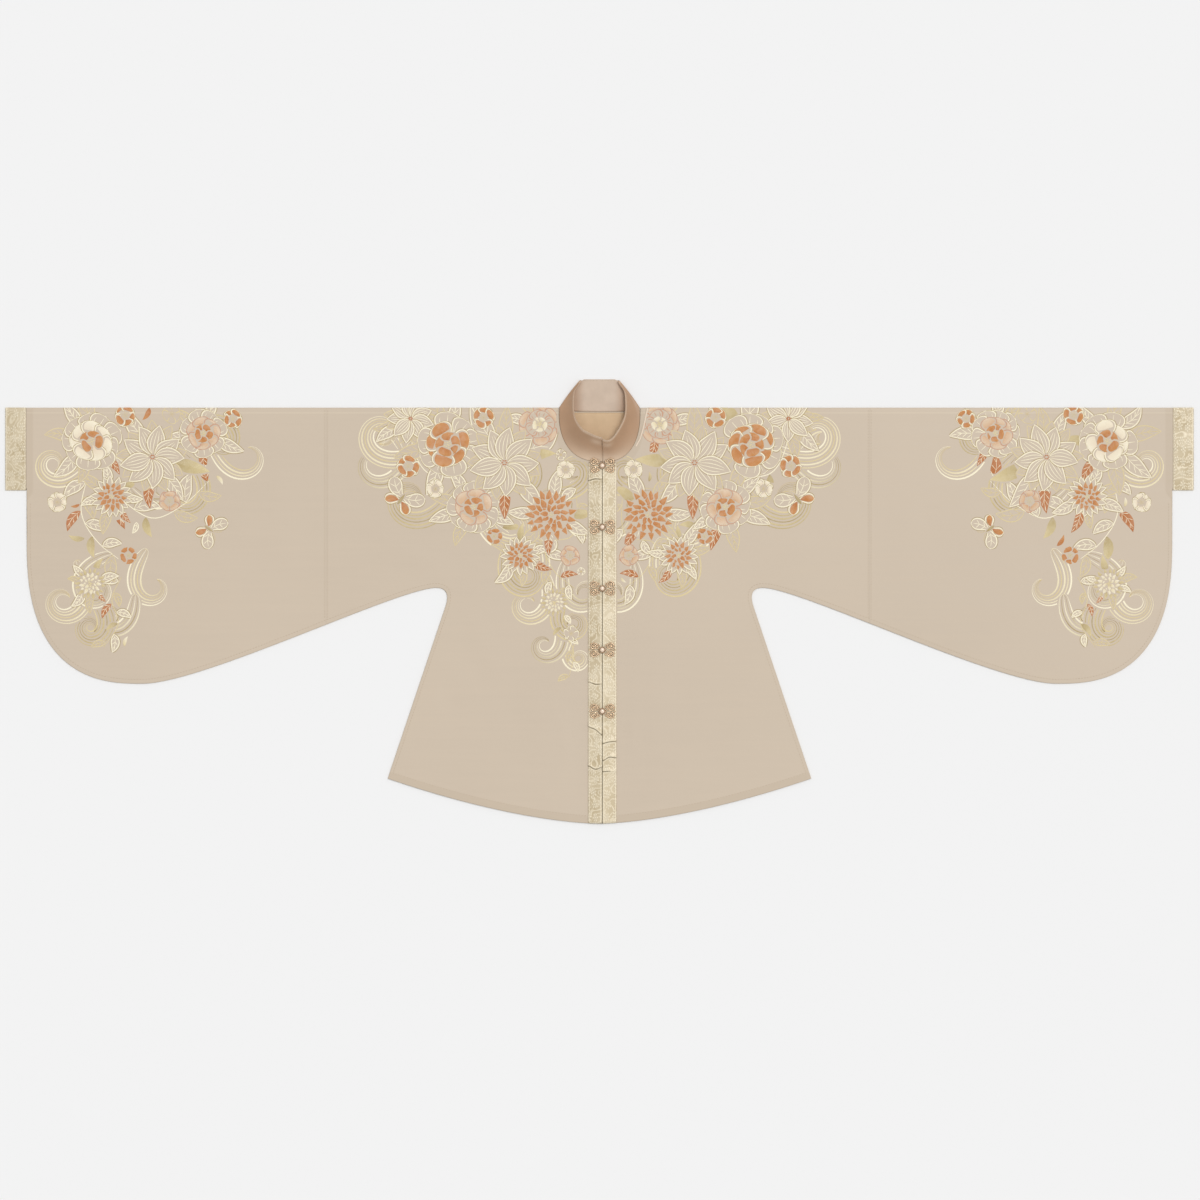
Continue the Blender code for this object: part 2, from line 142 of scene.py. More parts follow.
# Cloth. The shell is thinner than its solid and shares the solid's upper skin on the front.
WALL = 0.0012               # the solid's wall
SHELL = 0.0008              # the shown cloth with its lining
FOLD_R = 0.0009
SHELL_LIFT = (WALL - SHELL) / 2
HEM_DEEP = 0.0120           # cloth turned in behind the hem
# PRESSED_LINE places a painted highlight: the fine pale line along the crease below the shoulder fold
PRESSED_LINE = 0.0088       # fine pale line pressed below the shoulder fold
FOLD_Z = WALL / 2 + FOLD_R + SHELL_LIFT     # height of the fold's middle line
SKIN_R = FOLD_R + SHELL / 2                 # outer skin round a fold
LOFT = 0.0010
LOFT_FROM_EDGE = 0.050
FLAT_BY_FRONT = 0.040
FRONT_TOP = WALL + 2 * FOLD_R

COLLAR_WALL = 0.0014
COLLAR_FOLD = 0.00085
BAND_WIDE = 0.0245
BAND_WALL = 0.0012
BAND_TOP = NECK_FRONT + 0.0020
BAND_SKIN = FRONT_TOP + SEAM_GAP + BAND_WALL
CUFF_WALL = 0.0014
LINING_HALF = 0.058
LINING_TOP = 0.0085
LINING_DEEP = 0.086
LINING_Z = 0.0020

CLASP_FIRST = 0.1020
CLASP_STEP = 0.1085
CLASPS = 5
BUTTON_R = 0.0060
RING_BEADS = 14


def srgb(red, green, blue):
    """A colour as seen on a screen, 0 to 255 a channel, as a linear colour."""
    seen = np.array([red, green, blue]) / 255.0
    return tuple(float(c) for c in np.where(seen < 0.04045, seen / 12.92, ((seen + 0.055) / 1.055) ** 2.4))


def colour(name, description, default):
    return bpy.props.FloatVectorProperty(
        name=name, description=description, default=default, size=3, min=0.0, max=1.0, subtype="COLOR")


def length(name, description, default):
    return bpy.props.FloatProperty(
        name=name, description=description, default=default, min=0.0, precision=5, unit="LENGTH")


def table(columns, *rows):
    """Rows of values as dicts with these column names."""
    return [dict(zip(columns.split(), row)) for row in rows]


class JacketCloth(bpy.types.PropertyGroup):
    silk: colour("Silk", "Satin of the body and sleeves", srgb(205, 189, 169))
    # The edge tone is also painted shade in a faint band along the closed folds
    silk_edge: colour("Silk edge", "Silk where it is doubled at seams and hems", srgb(192, 175, 153))
    brocade_ground: colour("Brocade ground", "Greenish gold ground of bands and cuffs", srgb(195, 177, 142))
    brocade_figure: colour("Brocade figure", "Pale gold figure of the brocade", srgb(237, 224, 197))
    collar: colour("Collar", "Outside of the standing collar", srgb(179, 143, 112))
    collar_inside: colour("Collar inside", "Facing inside the collar", srgb(205, 183, 162))
    # Tone of a painted highlight on the collar's satin, low at the front and along its upper rim
    collar_sheen: colour("Collar worn", "Paler satin where the collar is handled", srgb(222, 198, 172))
    lining: colour("Lining", "Lining inside the back neck", srgb(212, 181, 143))
    relief: bpy.props.FloatProperty(
        name="Creases", description="How strongly the creases show", default=1.0, min=0.0, max=2.0)
    damask: length("Brocade repeat", "Distance between the brocade's blossoms", 0.0125)


class JacketThread(bpy.types.PropertyGroup):
    cream: colour("Cream", "Main line thread", srgb(255, 245, 214))
    ivory: colour("Ivory", "Light filling thread", srgb(250, 240, 214))
    gold: colour("Gold", "Scroll thread", srgb(222, 203, 152))
    old_gold: colour("Old gold", "Darker scroll thread", srgb(178, 157, 108))
    rust: colour("Terracotta", "Strong filling thread", srgb(184, 106, 40))
    amber: colour("Light terracotta", "Tips of the strong fillings", srgb(205, 138, 70))
    blush: colour("Blush", "Pale pink filling thread", srgb(227, 204, 176))
    rose: colour("Rose brown", "Fine outlines round the pale fillings", srgb(203, 148, 116))
    piping: colour("Piping", "Cord beside the right neck edge", srgb(238, 216, 194))
    tack: colour("Tacking", "Running stitches on silk and brocade", srgb(192, 174, 151))
    rise: length("Thread rise", "How far the embroidery stands off the cloth", 0.00034)
    stitch: length("Stitch", "Length of one running stitch", 0.0030)
    stitch_gap: length("Stitch gap", "Space between two running stitches", 0.0022)


class JacketClasp(bpy.types.PropertyGroup):
    metal: colour("Metal", "Rose gold of the clasps", srgb(246, 216, 180))
    # Painted shade: dark metal under the wires and round the pearl stands for the shade in the hollows
    # between them
    painted_shade_metal: colour("Aged metal", "Darkened rose gold in the hollows", srgb(128, 90, 58))
    pearl: colour("Pearl", "Domed middle of each clasp", srgb(242, 218, 194))
    wire: length("Wire", "Radius of the openwork wire", 0.00078)


class JacketStage(bpy.types.PropertyGroup):
    floor: colour("Floor", "Plain pale floor", (0.885, 0.885, 0.885))
    dome: bpy.props.FloatProperty(name="Dome", description="Even light from all round", default=0.62, min=0.0)
    lamp: bpy.props.FloatProperty(name="Lamp", description="Soft light from above", default=1.345, min=0.0)
    lens: bpy.props.FloatProperty(
        name="Lens", description="Focal length in millimetres", default=100.0, min=10.0)
    view_wide: length("View", "Width of the picture at the garment", 2.122)


# Curves of the cut

def bezier(a, b, c, d, t):
    """Cubic curve through a and d, steered by b and c."""
    t = np.asarray(t)[:, None]
    a, b, c, d = (np.array(p) for p in (a, b, c, d))
    return (1 - t) ** 3 * a + 3 * t * (1 - t) ** 2 * b + 3 * t * t * (1 - t) * c + t ** 3 * d


def run_along(path):
    """Way along a path of points or complex places, from 0."""
    step = np.diff(path, axis=0)
    sizes = np.abs(step) if step.ndim == 1 else np.linalg.norm(step, axis=1)
    return np.concatenate([[0.0], np.cumsum(sizes)])


def read_along(curve, share):
    """Points at these shares, 0 to 1, of a finely sampled curve's length."""
    run = run_along(curve)
    want = np.asarray(share) * run[-1]
    return np.stack([np.interp(want, run, curve[:, k]) for k in range(curve.shape[1])], axis=1)


def smooth_through(at, values, want):
    """Smooth curve through the values (cubic with shared slopes), read at these places."""
    slope = np.gradient(values, at, axis=0)
    k = np.clip(np.searchsorted(at, want, side="right") - 1, 0, len(at) - 2)
    column = (-1,) + (1,) * (values.ndim - 1)
    span = (at[k + 1] - at[k]).reshape(column)
    t = (want - at[k]).reshape(column) / span
    return ((2 * t ** 3 - 3 * t ** 2 + 1) * values[k] + (t ** 3 - 2 * t ** 2 + t) * span * slope[k]
            + (3 * t ** 2 - 2 * t ** 3) * values[k + 1] + (t ** 3 - t ** 2) * span * slope[k + 1])


def square_to(path):
    """Unit steps square to a path of complex places."""
    way = np.gradient(path)
    return way * (1j / np.abs(way))


def circle(count):
    """Complex places evenly round a unit circle."""
    return np.exp(1j * np.linspace(0, 2 * pi, count, endpoint=False))


def hem(x):
    """The hem's place below the shoulder: lowest in the middle, higher towards the sides."""
    return LENGTH - HEM_RISE * (np.abs(x) / HEM_HALF) ** HEM_POWER


def underarm_curve():
    """Rounded corner from the side seam into the lower sleeve edge."""
    down = np.array(SIDE_BOTTOM) - np.array(SIDE_TOP)
    down /= np.linalg.norm(down)
    first = np.array(SIDE_TOP) - SIDE_STEER * down
    last = np.array(UNDERARM) - np.array([SLEEVE_STEER, 0.0])
    return bezier(SIDE_TOP, first, last, UNDERARM, np.linspace(0, 1, 60))


def sweep_curve():
    """Lower sleeve edge from the underarm to the lowest point."""
    start = np.array(UNDERARM)
    end = np.array([ROUND_X, LOWEST])
    steer_out = start + np.array([SWEEP_OUT, 0.0])
    steer_in = end - np.array([SWEEP_IN, 0.0])
    return bezier(start, steer_out, steer_in, end, np.linspace(0, 1, 200))


def round_curve():
    """Sleeve end from the lowest point up to the cuff: a quarter of a squarish oval."""
    t = np.linspace(0, pi / 2, 160)
    end = SLEEVE_END - MOUTH_STEP
    x = ROUND_X + (end - ROUND_X) * np.sin(t) ** (2 / ROUND_POWER)
    v = ROUND_V + (LOWEST - ROUND_V) * np.abs(np.cos(t)) ** (2 / ROUND_POWER)
    return np.concatenate([np.stack([x, v], axis=1), [[end, CUFF_TALL]]])


def outer_edge():
    """The closed edge of one half, from the hem corner round to the cuff."""
    side = np.linspace(SIDE_BOTTOM, SIDE_TOP, 60)
    mouth = [[SLEEVE_END, CUFF_TALL]]
    return np.concatenate([side, underarm_curve(), sweep_curve(), round_curve(), mouth])


EDGE = read_along(outer_edge(), np.linspace(0, 1, 900))


def neckline(depth, start, turns):
    """Neck curve from the middle (x = start) to the neck point: a quarter of a squarish oval."""
    t = turns * pi / 2
    x = start + (NECK_HALF - start) * np.sin(t) ** (2 / NECK_POWER)
    v = depth * np.abs(np.cos(t)) ** (2 / NECK_POWER)
    return np.stack([x, np.where(turns >= 1.0, 0.0, v)], axis=1)


def moved_in(curve, inset):
    """A neck curve moved towards the neck, square to itself."""
    run = np.gradient(curve, axis=0)
    square = np.stack([run[:, 1], -run[:, 0]], axis=1)
    square /= np.linalg.norm(square, axis=1)[:, None]
    return curve + square * inset[:, None]


# Height of the front cloth

# Soft creases on the front: middle (x, v), direction from +x, half length,
# half width and height, a trough where it is negative
CREASES = table(
    "x v way reach half rise",
    (-0.062, 0.600, 78, 0.070, 0.010, 0.00045), (-0.088, 0.655, 64, 0.045, 0.009, -0.00040),
    (0.058, 0.570, 98, 0.085, 0.011, 0.00040), (0.084, 0.640, 112, 0.050, 0.010, -0.00035),
    (-0.205, 0.420, 62, 0.120, 0.022, 0.00045), (0.215, 0.430, 121, 0.100, 0.020, 0.00040),
    (-0.262, 0.520, 71, 0.080, 0.018, -0.00040), (0.248, 0.545, 106, 0.110, 0.020, 0.00030),
    (-0.150, 0.560, 82, 0.130, 0.026, -0.00035), (0.142, 0.500, 95, 0.110, 0.024, -0.00035),
    (-0.330, 0.262, 24, 0.090, 0.018, 0.00050), (0.345, 0.250, 158, 0.080, 0.017, 0.00045),
    (-0.420, 0.225, 38, 0.070, 0.016, -0.00040), (0.405, 0.290, 150, 0.060, 0.014, -0.00040),
    (-0.560, 0.190, 84, 0.150, 0.028, 0.00040), (0.545, 0.215, 97, 0.130, 0.026, 0.00040),
    (-0.700, 0.395, 31, 0.110, 0.022, 0.00045), (0.690, 0.380, 148, 0.120, 0.024, 0.00040),
    (-0.905, 0.385, 118, 0.080, 0.020, -0.00040), (0.915, 0.370, 61, 0.090, 0.020, -0.00035),
    (-0.640, 0.080, 12, 0.100, 0.020, -0.00030), (0.655, 0.095, 170, 0.090, 0.018, -0.00030))
STRIP_V = 0.0120            # where the pressed strip below the shoulder fold ends
STRIP_RISE = 0.00012
STRIP_STEP = 0.0006         # over about this width
CREASE_RUN_IN = 0.006       # creases start this softly from a closed edge
CREASE_FREE = 0.020         # none nearer than this to the front edge,
CREASE_GROW = 0.030         # and full this much further on
SLICE = 4000                # places worked out at once


def crease_relief(x, v):
    """Height of all creases: rise * e^(-(across/half)^2) * (1 - (along/reach)^2)^2 for each."""
    height = np.zeros(np.shape(x))
    for crease in CREASES:
        turn = np.radians(crease["way"])
        dx, dv = x - crease["x"], v - crease["v"]
        along = (dx * np.cos(turn) + dv * np.sin(turn)) / crease["reach"]
        across = (-dx * np.sin(turn) + dv * np.cos(turn)) / crease["half"]
        height += crease["rise"] * np.exp(-across ** 2) * np.clip(1 - along ** 2, 0, 1) ** 2
    strip = STRIP_RISE / (1.0 + np.exp((v - STRIP_V) / STRIP_STEP))
    return height + strip


def edge_gap(x, v):
    """Distance to the closed outer edge, worked out in slices to spare memory."""
    places = np.stack([np.ravel(x), np.ravel(v)], axis=1)
    gaps = [np.linalg.norm(part[:, None] - EDGE, axis=-1).min(axis=1)
            for part in np.array_split(places, len(places) // SLICE + 1)]
    return np.concatenate(gaps).reshape(np.shape(x))


def front_rise(x, v, gap, half, strength):
    """How far the front stands off its lowest level at garment places (x outwards): loft and creases."""
    aside = np.abs(x * half - FRONT_X)
    level = np.clip((aside - FLAT_BY_FRONT) / LOFT_FROM_EDGE, 0.0, 1.0)
    below = np.clip((hem(np.minimum(x, HEM_HALF)) - v) / LOFT_FROM_EDGE, 0.0, 1.0)
    off = np.maximum(np.minimum(gap, np.maximum(v, 0.0)) - FOLD_R, 0.0)
    loft = LOFT * (1.0 - np.exp(-off / LOFT_FROM_EDGE)) * level * below
    fade = np.clip(off / CREASE_RUN_IN, 0.0, 1.0) * np.clip((aside - CREASE_FREE) / CREASE_GROW, 0.0, 1.0)
    return loft + strength * fade * crease_relief(x * half, v)


RASTER = 0.005


def gap_map():
    """Edge distance over one half on a coarse grid, read between its points by gap_at."""
    x = np.arange(0.0, SPAN / 2 + RASTER, RASTER)
    v = np.arange(0.0, LENGTH + RASTER, RASTER)
    return edge_gap(*np.meshgrid(x, v, indexing="ij"))


GAPS = gap_map()


def gap_at(x, v):
    """Edge distance between the points of the coarse grid, weighted by nearness."""
    i = np.clip(x / RASTER, 0, GAPS.shape[0] - 1.001)
    j = np.clip(v / RASTER, 0, GAPS.shape[1] - 1.001)
    a, b = i.astype(int), j.astype(int)
    i, j = i - a, j - b
    return (GAPS[a, b] * (1 - i) * (1 - j) + GAPS[a + 1, b] * i * (1 - j)
            + GAPS[a, b + 1] * (1 - i) * j + GAPS[a + 1, b + 1] * i * j)


def skin(x, s, height, half, strength):
    """World points at a height off the cloth's outer skin, which is half a circle round the fold."""
    quarter = SKIN_R * pi / 2
    turn = np.clip(s / SKIN_R, -pi / 2, pi / 2)
    reach = SKIN_R + height
    v = FOLD_R - reach * np.cos(turn) + np.maximum(np.abs(s) - quarter, 0.0)
    lift = front_rise(x, v, gap_at(x, v), half, strength)
    z = FOLD_Z + reach * np.sin(turn) + np.where(s > quarter, lift, 0.0)
    return np.stack([x * half, SHOULDER_Y - v, z], axis=-1)


# Meshes and pieces

MERGE = 0.00002             # points of a cloth nearer than this become one


def raw_mesh(name, points, quads):
    """A mesh of quads from whole arrays of points and corner numbers."""
    mesh = bpy.data.meshes.new(name)
    mesh.vertices.add(len(points))
    mesh.vertices.foreach_set("co", np.ascontiguousarray(points, dtype=np.float32).ravel())
    mesh.loops.add(quads.size)
    mesh.loops.foreach_set("vertex_index", np.ascontiguousarray(quads, dtype=np.int32).ravel())
    mesh.polygons.add(len(quads))
    mesh.polygons.foreach_set("loop_start", np.arange(0, quads.size, 4, dtype=np.int32))
    mesh.update(calc_edges=True)
    return mesh


def put_attribute(mesh, name, kind, field, values):
    layer = mesh.attributes.new(name, kind, "POINT")
    layer.data.foreach_set(field, np.ascontiguousarray(values, dtype=np.float32).ravel())


def grid_quads(rows, columns, ring=False):
    """Corner numbers of a grid's quads, closed along its columns if ring."""
    number = np.arange(rows * columns).reshape(rows, columns)
    if ring:
        number = np.concatenate([number, number[:, :1]], axis=1)
    quads = np.stack([number[:-1, :-1], number[:-1, 1:], number[1:, 1:], number[1:, :-1]], axis=-1)
    return quads.reshape(-1, 4)


def garment_points(points):
    """Garment places (x, v, z) as world points."""
    return np.stack([points[..., 0], SHOULDER_Y - points[..., 1], points[..., 2]], axis=-1)


def add_piece(name, mesh, materials, nodes=()):
    """A shown piece at the origin that rides on the garment and stands for its solids."""
    for made in materials:
        mesh.materials.append(made)
    mesh.shade_smooth()
    piece = bpy.data.objects.new(name, mesh)
    bpy.context.scene.collection.objects.link(piece)
    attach(piece, "root")
    if nodes:
        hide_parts(*nodes)
    return piece


def cloth(name, middle, wall, materials, nodes, rim=None, ring=False, attribute="rim"):
    """A cloth wall about a grid of middle places, its doubles merged and its edges closed."""
    points = garment_points(middle)
    mesh = raw_mesh(name, points.reshape(-1, 3), grid_quads(*middle.shape[:2], ring=ring))
    if rim is not None:
        put_attribute(mesh, attribute, "FLOAT", "value", rim)
    shape = bmesh.new()
    shape.from_mesh(mesh)
    bmesh.ops.remove_doubles(shape, verts=shape.verts, dist=MERGE)
    bmesh.ops.recalc_face_normals(shape, faces=shape.faces)
    shape.to_mesh(mesh)
    shape.free()
    piece = add_piece(name, mesh, materials, nodes)
    thick = piece.modifiers.new("wall", "SOLIDIFY")
    thick.thickness = wall
    thick.offset = 0.0
    if len(materials) > 1:
        thick.material_offset = 1
    return piece


# Materials

class Shade:
    """Builds one material: sockets and plain numbers go in, sockets come out."""

    def __init__(self, name, **constants):
        self.material = bpy.data.materials.new(name)
        self.material.use_nodes = True
        self.tree = self.material.node_tree
        self.shader = self.tree.nodes["Principled BSDF"]
        for socket, value in constants.items():
            self.shader.inputs[socket.replace("_", " ")].default_value = value
        self.place = self.node("ShaderNodeTexCoord").outputs["Object"]

    def node(self, kind, **settings):
        made = self.tree.nodes.new(kind)
        for key, value in settings.items():
            setattr(made, key, value)
        return made

    def feed(self, sockets, *values):
        """Links or sets the first sockets, one for each value."""
        for socket, value in zip(sockets, values):
            if isinstance(value, bpy.types.NodeSocket):
                self.tree.links.new(value, socket)
            else:
                socket.default_value = value

    def through(self, kind, *values, **settings):
        """First output of a new node fed with these values in order."""
        made = self.node(kind, **settings)
        self.feed(made.inputs, *values)
        return made.outputs[0]

    def math(self, operation, *values):
        return self.through("ShaderNodeMath", *values, operation=operation)

    def times(self, first, second):
        return self.math("MULTIPLY", first, second)

    def less(self, first, second):
        return self.math("SUBTRACT", first, second)

    def line(self, value, slope, start):
        """start + slope * value."""
        return self.math("MULTIPLY_ADD", value, slope, start)

    def split(self, vector):
        made = self.node("ShaderNodeSeparateXYZ")
        self.feed(made.inputs, vector)
        return made.outputs

    def join(self, x, y, z):
        return self.through("ShaderNodeCombineXYZ", x, y, z)

    def between(self, value, low, high):
        """0 below low, 1 above high and a smooth step between."""
        return self.through("ShaderNodeMapRange", value, low, high, 0.0, 1.0, interpolation_type="SMOOTHSTEP")

    def under(self, value, low, high):
        """1 below low, 0 above high and a smooth step between."""
        return self.less(1.0, self.between(value, low, high))

    def stripe(self, value, low, full, past, high):
        """1 from full to past, 0 below low and above high."""
        return self.less(self.between(value, low, full), self.between(value, past, high))

    def mix(self, share, first, second):
        made = self.node("ShaderNodeMix", data_type="RGBA")
        tones = ((*tone, 1.0) if np.shape(tone) == (3,) else tone for tone in (first, second))
        self.feed([made.inputs["Factor"], *made.inputs[6:8]], share, *tones)
        return made.outputs[2]

    def tinted(self, base, *layers):
        """The base with layers mixed over it in turn: mask, strength and tone of each."""
        for mask, strength, tone in layers:
            base = self.mix(self.times(mask, strength), base, tone)
        return base

    def noise(self, scale, detail=2.0, stretch=(1.0, 1.0, 1.0)):
        made = self.node("ShaderNodeTexNoise")
        spot = self.join(*(self.times(c, k) for c, k in zip(self.split(self.place), stretch)))
        self.feed([made.inputs[key] for key in ("Vector", "Scale", "Detail")], spot, scale, detail)
        return made.outputs["Fac"]

    def patches(self, scale, detail, low, high, **stretched):
        """Soft-edged patches of noise, 0 where it is under low and 1 where it is over high."""
        return self.between(self.noise(scale, detail, **stretched), low, high)

    def ripple(self, value, pitch):
        """0 to 1 to 0 once every pitch."""
        return self.line(self.math("SINE", self.times(value, 2 * pi / pitch)), 0.5, 0.5)

    def attribute(self, name):
        return self.node("ShaderNodeAttribute", attribute_name=name).outputs

    def relief(self, *layers):
        """Bumps over one another, the lowest first: height, distance and strength of each."""
        normal = None
        for layer in layers:
            made = self.node("ShaderNodeBump")
            self.feed([made.inputs[key] for key in ("Height", "Distance", "Strength")], *layer)
            if normal is not None:
                self.feed([made.inputs["Normal"]], normal)
            normal = made.outputs["Normal"]
        return normal

    def finish(self, base, roughness=None, normal=None):
        for key, value in (("Base Color", base), ("Roughness", roughness), ("Normal", normal)):
            if value is not None:
                self.feed([self.shader.inputs[key]], value)
        return self.material


def dim(tone, share):
    """A tone made darker, or lighter where the share is over 1."""
    return tuple(c * share for c in tone)


def silk_material(look):
    """Satin: a fine warp-faced weave and cloudy tone. The attribute rim is the distance to an open
    edge, where the turned-in cloth shows a little darker; it stays past HEM_DEEP at closed ones,
    where the same darker tone runs faintly along the fold as painted shade. A fine pale line below
    the shoulder fold is a painted highlight."""
    shade = Shade("silk_satin", Sheen_Weight=0.25, Sheen_Roughness=0.45, Specular_IOR_Level=0.35)
    x, y, _ = shade.split(shade.place)
    cloud = shade.patches(2.6, 3.0, 0.30, 0.72)
    slub = shade.patches(130.0, 2.0, 0.35, 0.70, stretch=(0.06, 1.0, 1.0))
    rim = shade.attribute("rim")["Fac"]
    # Along the closed folds this darker tone is painted shade; at hems and seams it is the doubled cloth
    doubled = shade.under(rim, HEM_DEEP - 0.0010, HEM_DEEP + 0.0030)
    edge = shade.under(rim, 0.0002, 0.0022)
    # Painted highlight: a pale line along the crease below the shoulder fold
    pressed = shade.under(shade.math("ABSOLUTE", shade.less(y, SHOULDER_Y - PRESSED_LINE)), 0.0003, 0.0013)
    base = shade.tinted(
        look.silk, (cloud, 0.60, dim(look.silk, 0.955)), (slub, 0.25, dim(look.silk, 1.05)),
        (doubled, 0.40, look.silk_edge), (pressed, 0.22, look.brocade_figure), (edge, 0.40, look.silk_edge))
    weave = shade.math("ADD", shade.times(shade.ripple(x, 0.00070), 0.65),
                       shade.times(shade.ripple(y, 0.00055), 0.35))
    normal = shade.relief((shade.noise(22.0, 3.0), 0.0011, 0.35), (doubled, 0.00022, 0.6),
                          (weave, 0.00005, 0.35))
    return shade.finish(base, shade.line(slub, 0.10, 0.46), normal)


def brocade_material(name, look, painted_lighting, share):
    """Brocade on Object coordinates: scattered blossoms, taller than wide, with scroll lines between.

    A blossom is r < R (0.70 + 0.30 cos 6a) about the nearest point of a loosened lattice, with a
    ring left out round its heart. The scrolls are contour lines of a slow noise. The attribute
    rim is the distance to the piece's edge or nearest sharp crease: painted shade darkens the crack
    and the edge, and a painted highlight makes the pressed edge beside it pale. A share of a flat tone
    is mixed over the whole as the cloth lies to the light: painted light where the tone is pale,
    painted shade where it is dark.
    """
    shade = Shade(name, Metallic=0.10, Specular_IOR_Level=0.5, Sheen_Weight=0.15)
    x, y, z = shade.split(shade.place)
    stretched = shade.join(x, shade.times(y, 0.62), z)
    lattice = shade.node("ShaderNodeTexVoronoi", voronoi_dimensions="2D")
    sockets = [lattice.inputs[key] for key in ("Vector", "Scale", "Randomness")]
    shade.feed(sockets, stretched, 1.0 / look.damask, 0.60)
    spot = shade.through("ShaderNodeVectorMath", stretched, lattice.outputs["Position"], operation="SUBTRACT")
    px, py, _ = shade.split(spot)
    radius = shade.math("SQRT", shade.math("ADD", shade.times(px, px), shade.times(py, py)))
    lot, _, _ = shade.split(lattice.outputs["Color"])
    angle = shade.math("ADD", shade.math("ARCTAN2", py, px), shade.times(lot, 2 * pi))
    size = look.damask * 0.44
    limit = shade.line(shade.math("COSINE", shade.times(angle, 6.0)), 0.30 * size, 0.70 * size)
    ratio = shade.math("DIVIDE", radius, limit)
    flower = shade.less(shade.under(ratio, 0.74, 1.06), shade.stripe(ratio, 0.26, 0.36, 0.46, 0.56))
    contour = shade.math("FRACT", shade.times(shade.noise(40.0, 0.5), 8.0))
    scrolls = shade.times(shade.stripe(contour, 0.08, 0.22, 0.40, 0.56), 0.7)
    figure = shade.math("MAXIMUM", flower, shade.times(scrolls, shade.between(ratio, 1.10, 1.35)))
    figure = shade.times(figure, shade.line(shade.patches(70.0, 3.0, 0.28, 0.66), 0.30, 0.70))
    light_ground = tuple(0.45 * a + 0.55 * b for a, b in zip(look.brocade_ground, look.brocade_figure))
    ground = shade.tinted(look.brocade_ground, (shade.patches(26.0, 3.0, 0.38, 0.62), 0.75, light_ground))
    # A share of a flat tone over the whole: painted light with a pale tone, painted shade with a dark one
    base = shade.mix(share, shade.mix(figure, ground, look.brocade_figure), painted_lighting)
    rim = shade.attribute("rim")["Fac"]
    # Painted highlight pale along the pressed edge, painted shade in the crack and at the edge
    base = shade.tinted(
        base, (shade.stripe(rim, 0.0012, 0.0018, 0.0026, 0.0042), 0.60, look.brocade_figure),
        (shade.under(rim, 0.0003, 0.0010), 0.92, dim(look.brocade_ground, 0.22)))
    normal = shade.relief((figure, 0.00030, 0.6), (shade.ripple(y, 0.00085), 0.00008, 0.4),
                          (shade.noise(60.0, 3.0), 0.0010, 0.4))
    return shade.finish(base, shade.line(figure, -0.16, 0.50), normal)


SATIN_PITCH = 0.0006


def satin_material(name, tone, gloss, pale=None, shaded=None):
    """Plain satin: long shining floats one way, soft mottling, paler where a painted highlight is mixed
    in by the piece's attribute for it, and painted shade towards the folds at both sides."""
    shade = Shade(name, Sheen_Weight=0.2, Sheen_Roughness=0.4, Specular_IOR_Level=0.5)
    x, y, z = shade.split(shade.place)
    mottle = shade.patches(34.0, 3.0, 0.30, 0.70)
    base = shade.tinted(tone, (mottle, 0.55, dim(tone, 0.86)))
    if pale:
        # Painted highlight: the paler tone where the piece's attribute is high
        base = shade.mix(shade.attribute("painted_sheen")["Fac"], base, pale)
    if shaded:
        # Painted shade: darker towards the side folds in the given tone
        base = shade.tinted(base, (shade.between(shade.math("ABSOLUTE", x), 0.024, 0.044), 0.65, shaded))
    floats = shade.ripple(shade.math("ADD", x, z), SATIN_PITCH)
    weave = shade.line(shade.ripple(y, SATIN_PITCH * 1.6), 0.4, floats)
    normal = shade.relief((shade.noise(48.0, 2.0), 0.0012, 0.4), (weave, 0.00005, 0.4))
    return shade.finish(base, shade.line(mottle, 0.10, gloss), normal)


def thread_material():
    """Silk thread: colour from the piece, strands slanted off the middle of each line of stitches, with
    painted shade darkening the thread between the strands.
    """
    shade = Shade("silk_thread", Sheen_Weight=0.08, Specular_IOR_Level=0.5)
    tone = shade.attribute("thread")["Color"]
    u, w, _ = shade.split(shade.node("ShaderNodeUVMap", uv_map="stitches").outputs[0])
    strands = shade.ripple(shade.line(shade.math("ABSOLUTE", w), 0.8, u), 0.00055)
    # Painted shade between the strands
    dark = shade.mix(0.18, tone, (0.40, 0.28, 0.14))
    base = shade.mix(shade.line(strands, 0.45, 0.55), dark, tone)
    base = shade.tinted(base, (shade.patches(140.0, 2.0, 0.3, 0.7), 0.10, (0.95, 0.88, 0.72)))
    return shade.finish(base, shade.line(strands, -0.10, 0.46), shade.relief((strands, 0.00010, 0.6)))


def metal_material(name, tone, gloss):
    """Cast rose gold, duller in mottled patches. The clasps take a bright copy for the wires and a darker
    copy below them as painted shade.
    """
    shade = Shade(name, Metallic=0.55, Specular_IOR_Level=0.6)
    dull = shade.patches(420.0, 3.0, 0.35, 0.70)
    base = shade.tinted(tone, (dull, 0.35, dim(tone, 0.62)))
    normal = shade.relief((shade.noise(900.0, 2.0), 0.00010, 0.4))
    return shade.finish(base, shade.line(dull, 0.18, gloss), normal)


def pearl_material(tone):
    """Pearl: a pale glossy bead with faint clouding."""
    shade = Shade("pearl", Coat_Weight=0.6, Coat_Roughness=0.08, Specular_IOR_Level=0.6)
    cloud = shade.patches(380.0, 2.0, 0.3, 0.7)
    base = shade.tinted(tone, (cloud, 0.35, dim(tone, 0.88)))
    normal = shade.relief((shade.noise(260.0, 1.0), 0.0001, 0.3))
    return shade.finish(base, shade.line(cloud, 0.08, 0.22), normal)


# Silk: bodies and sleeves

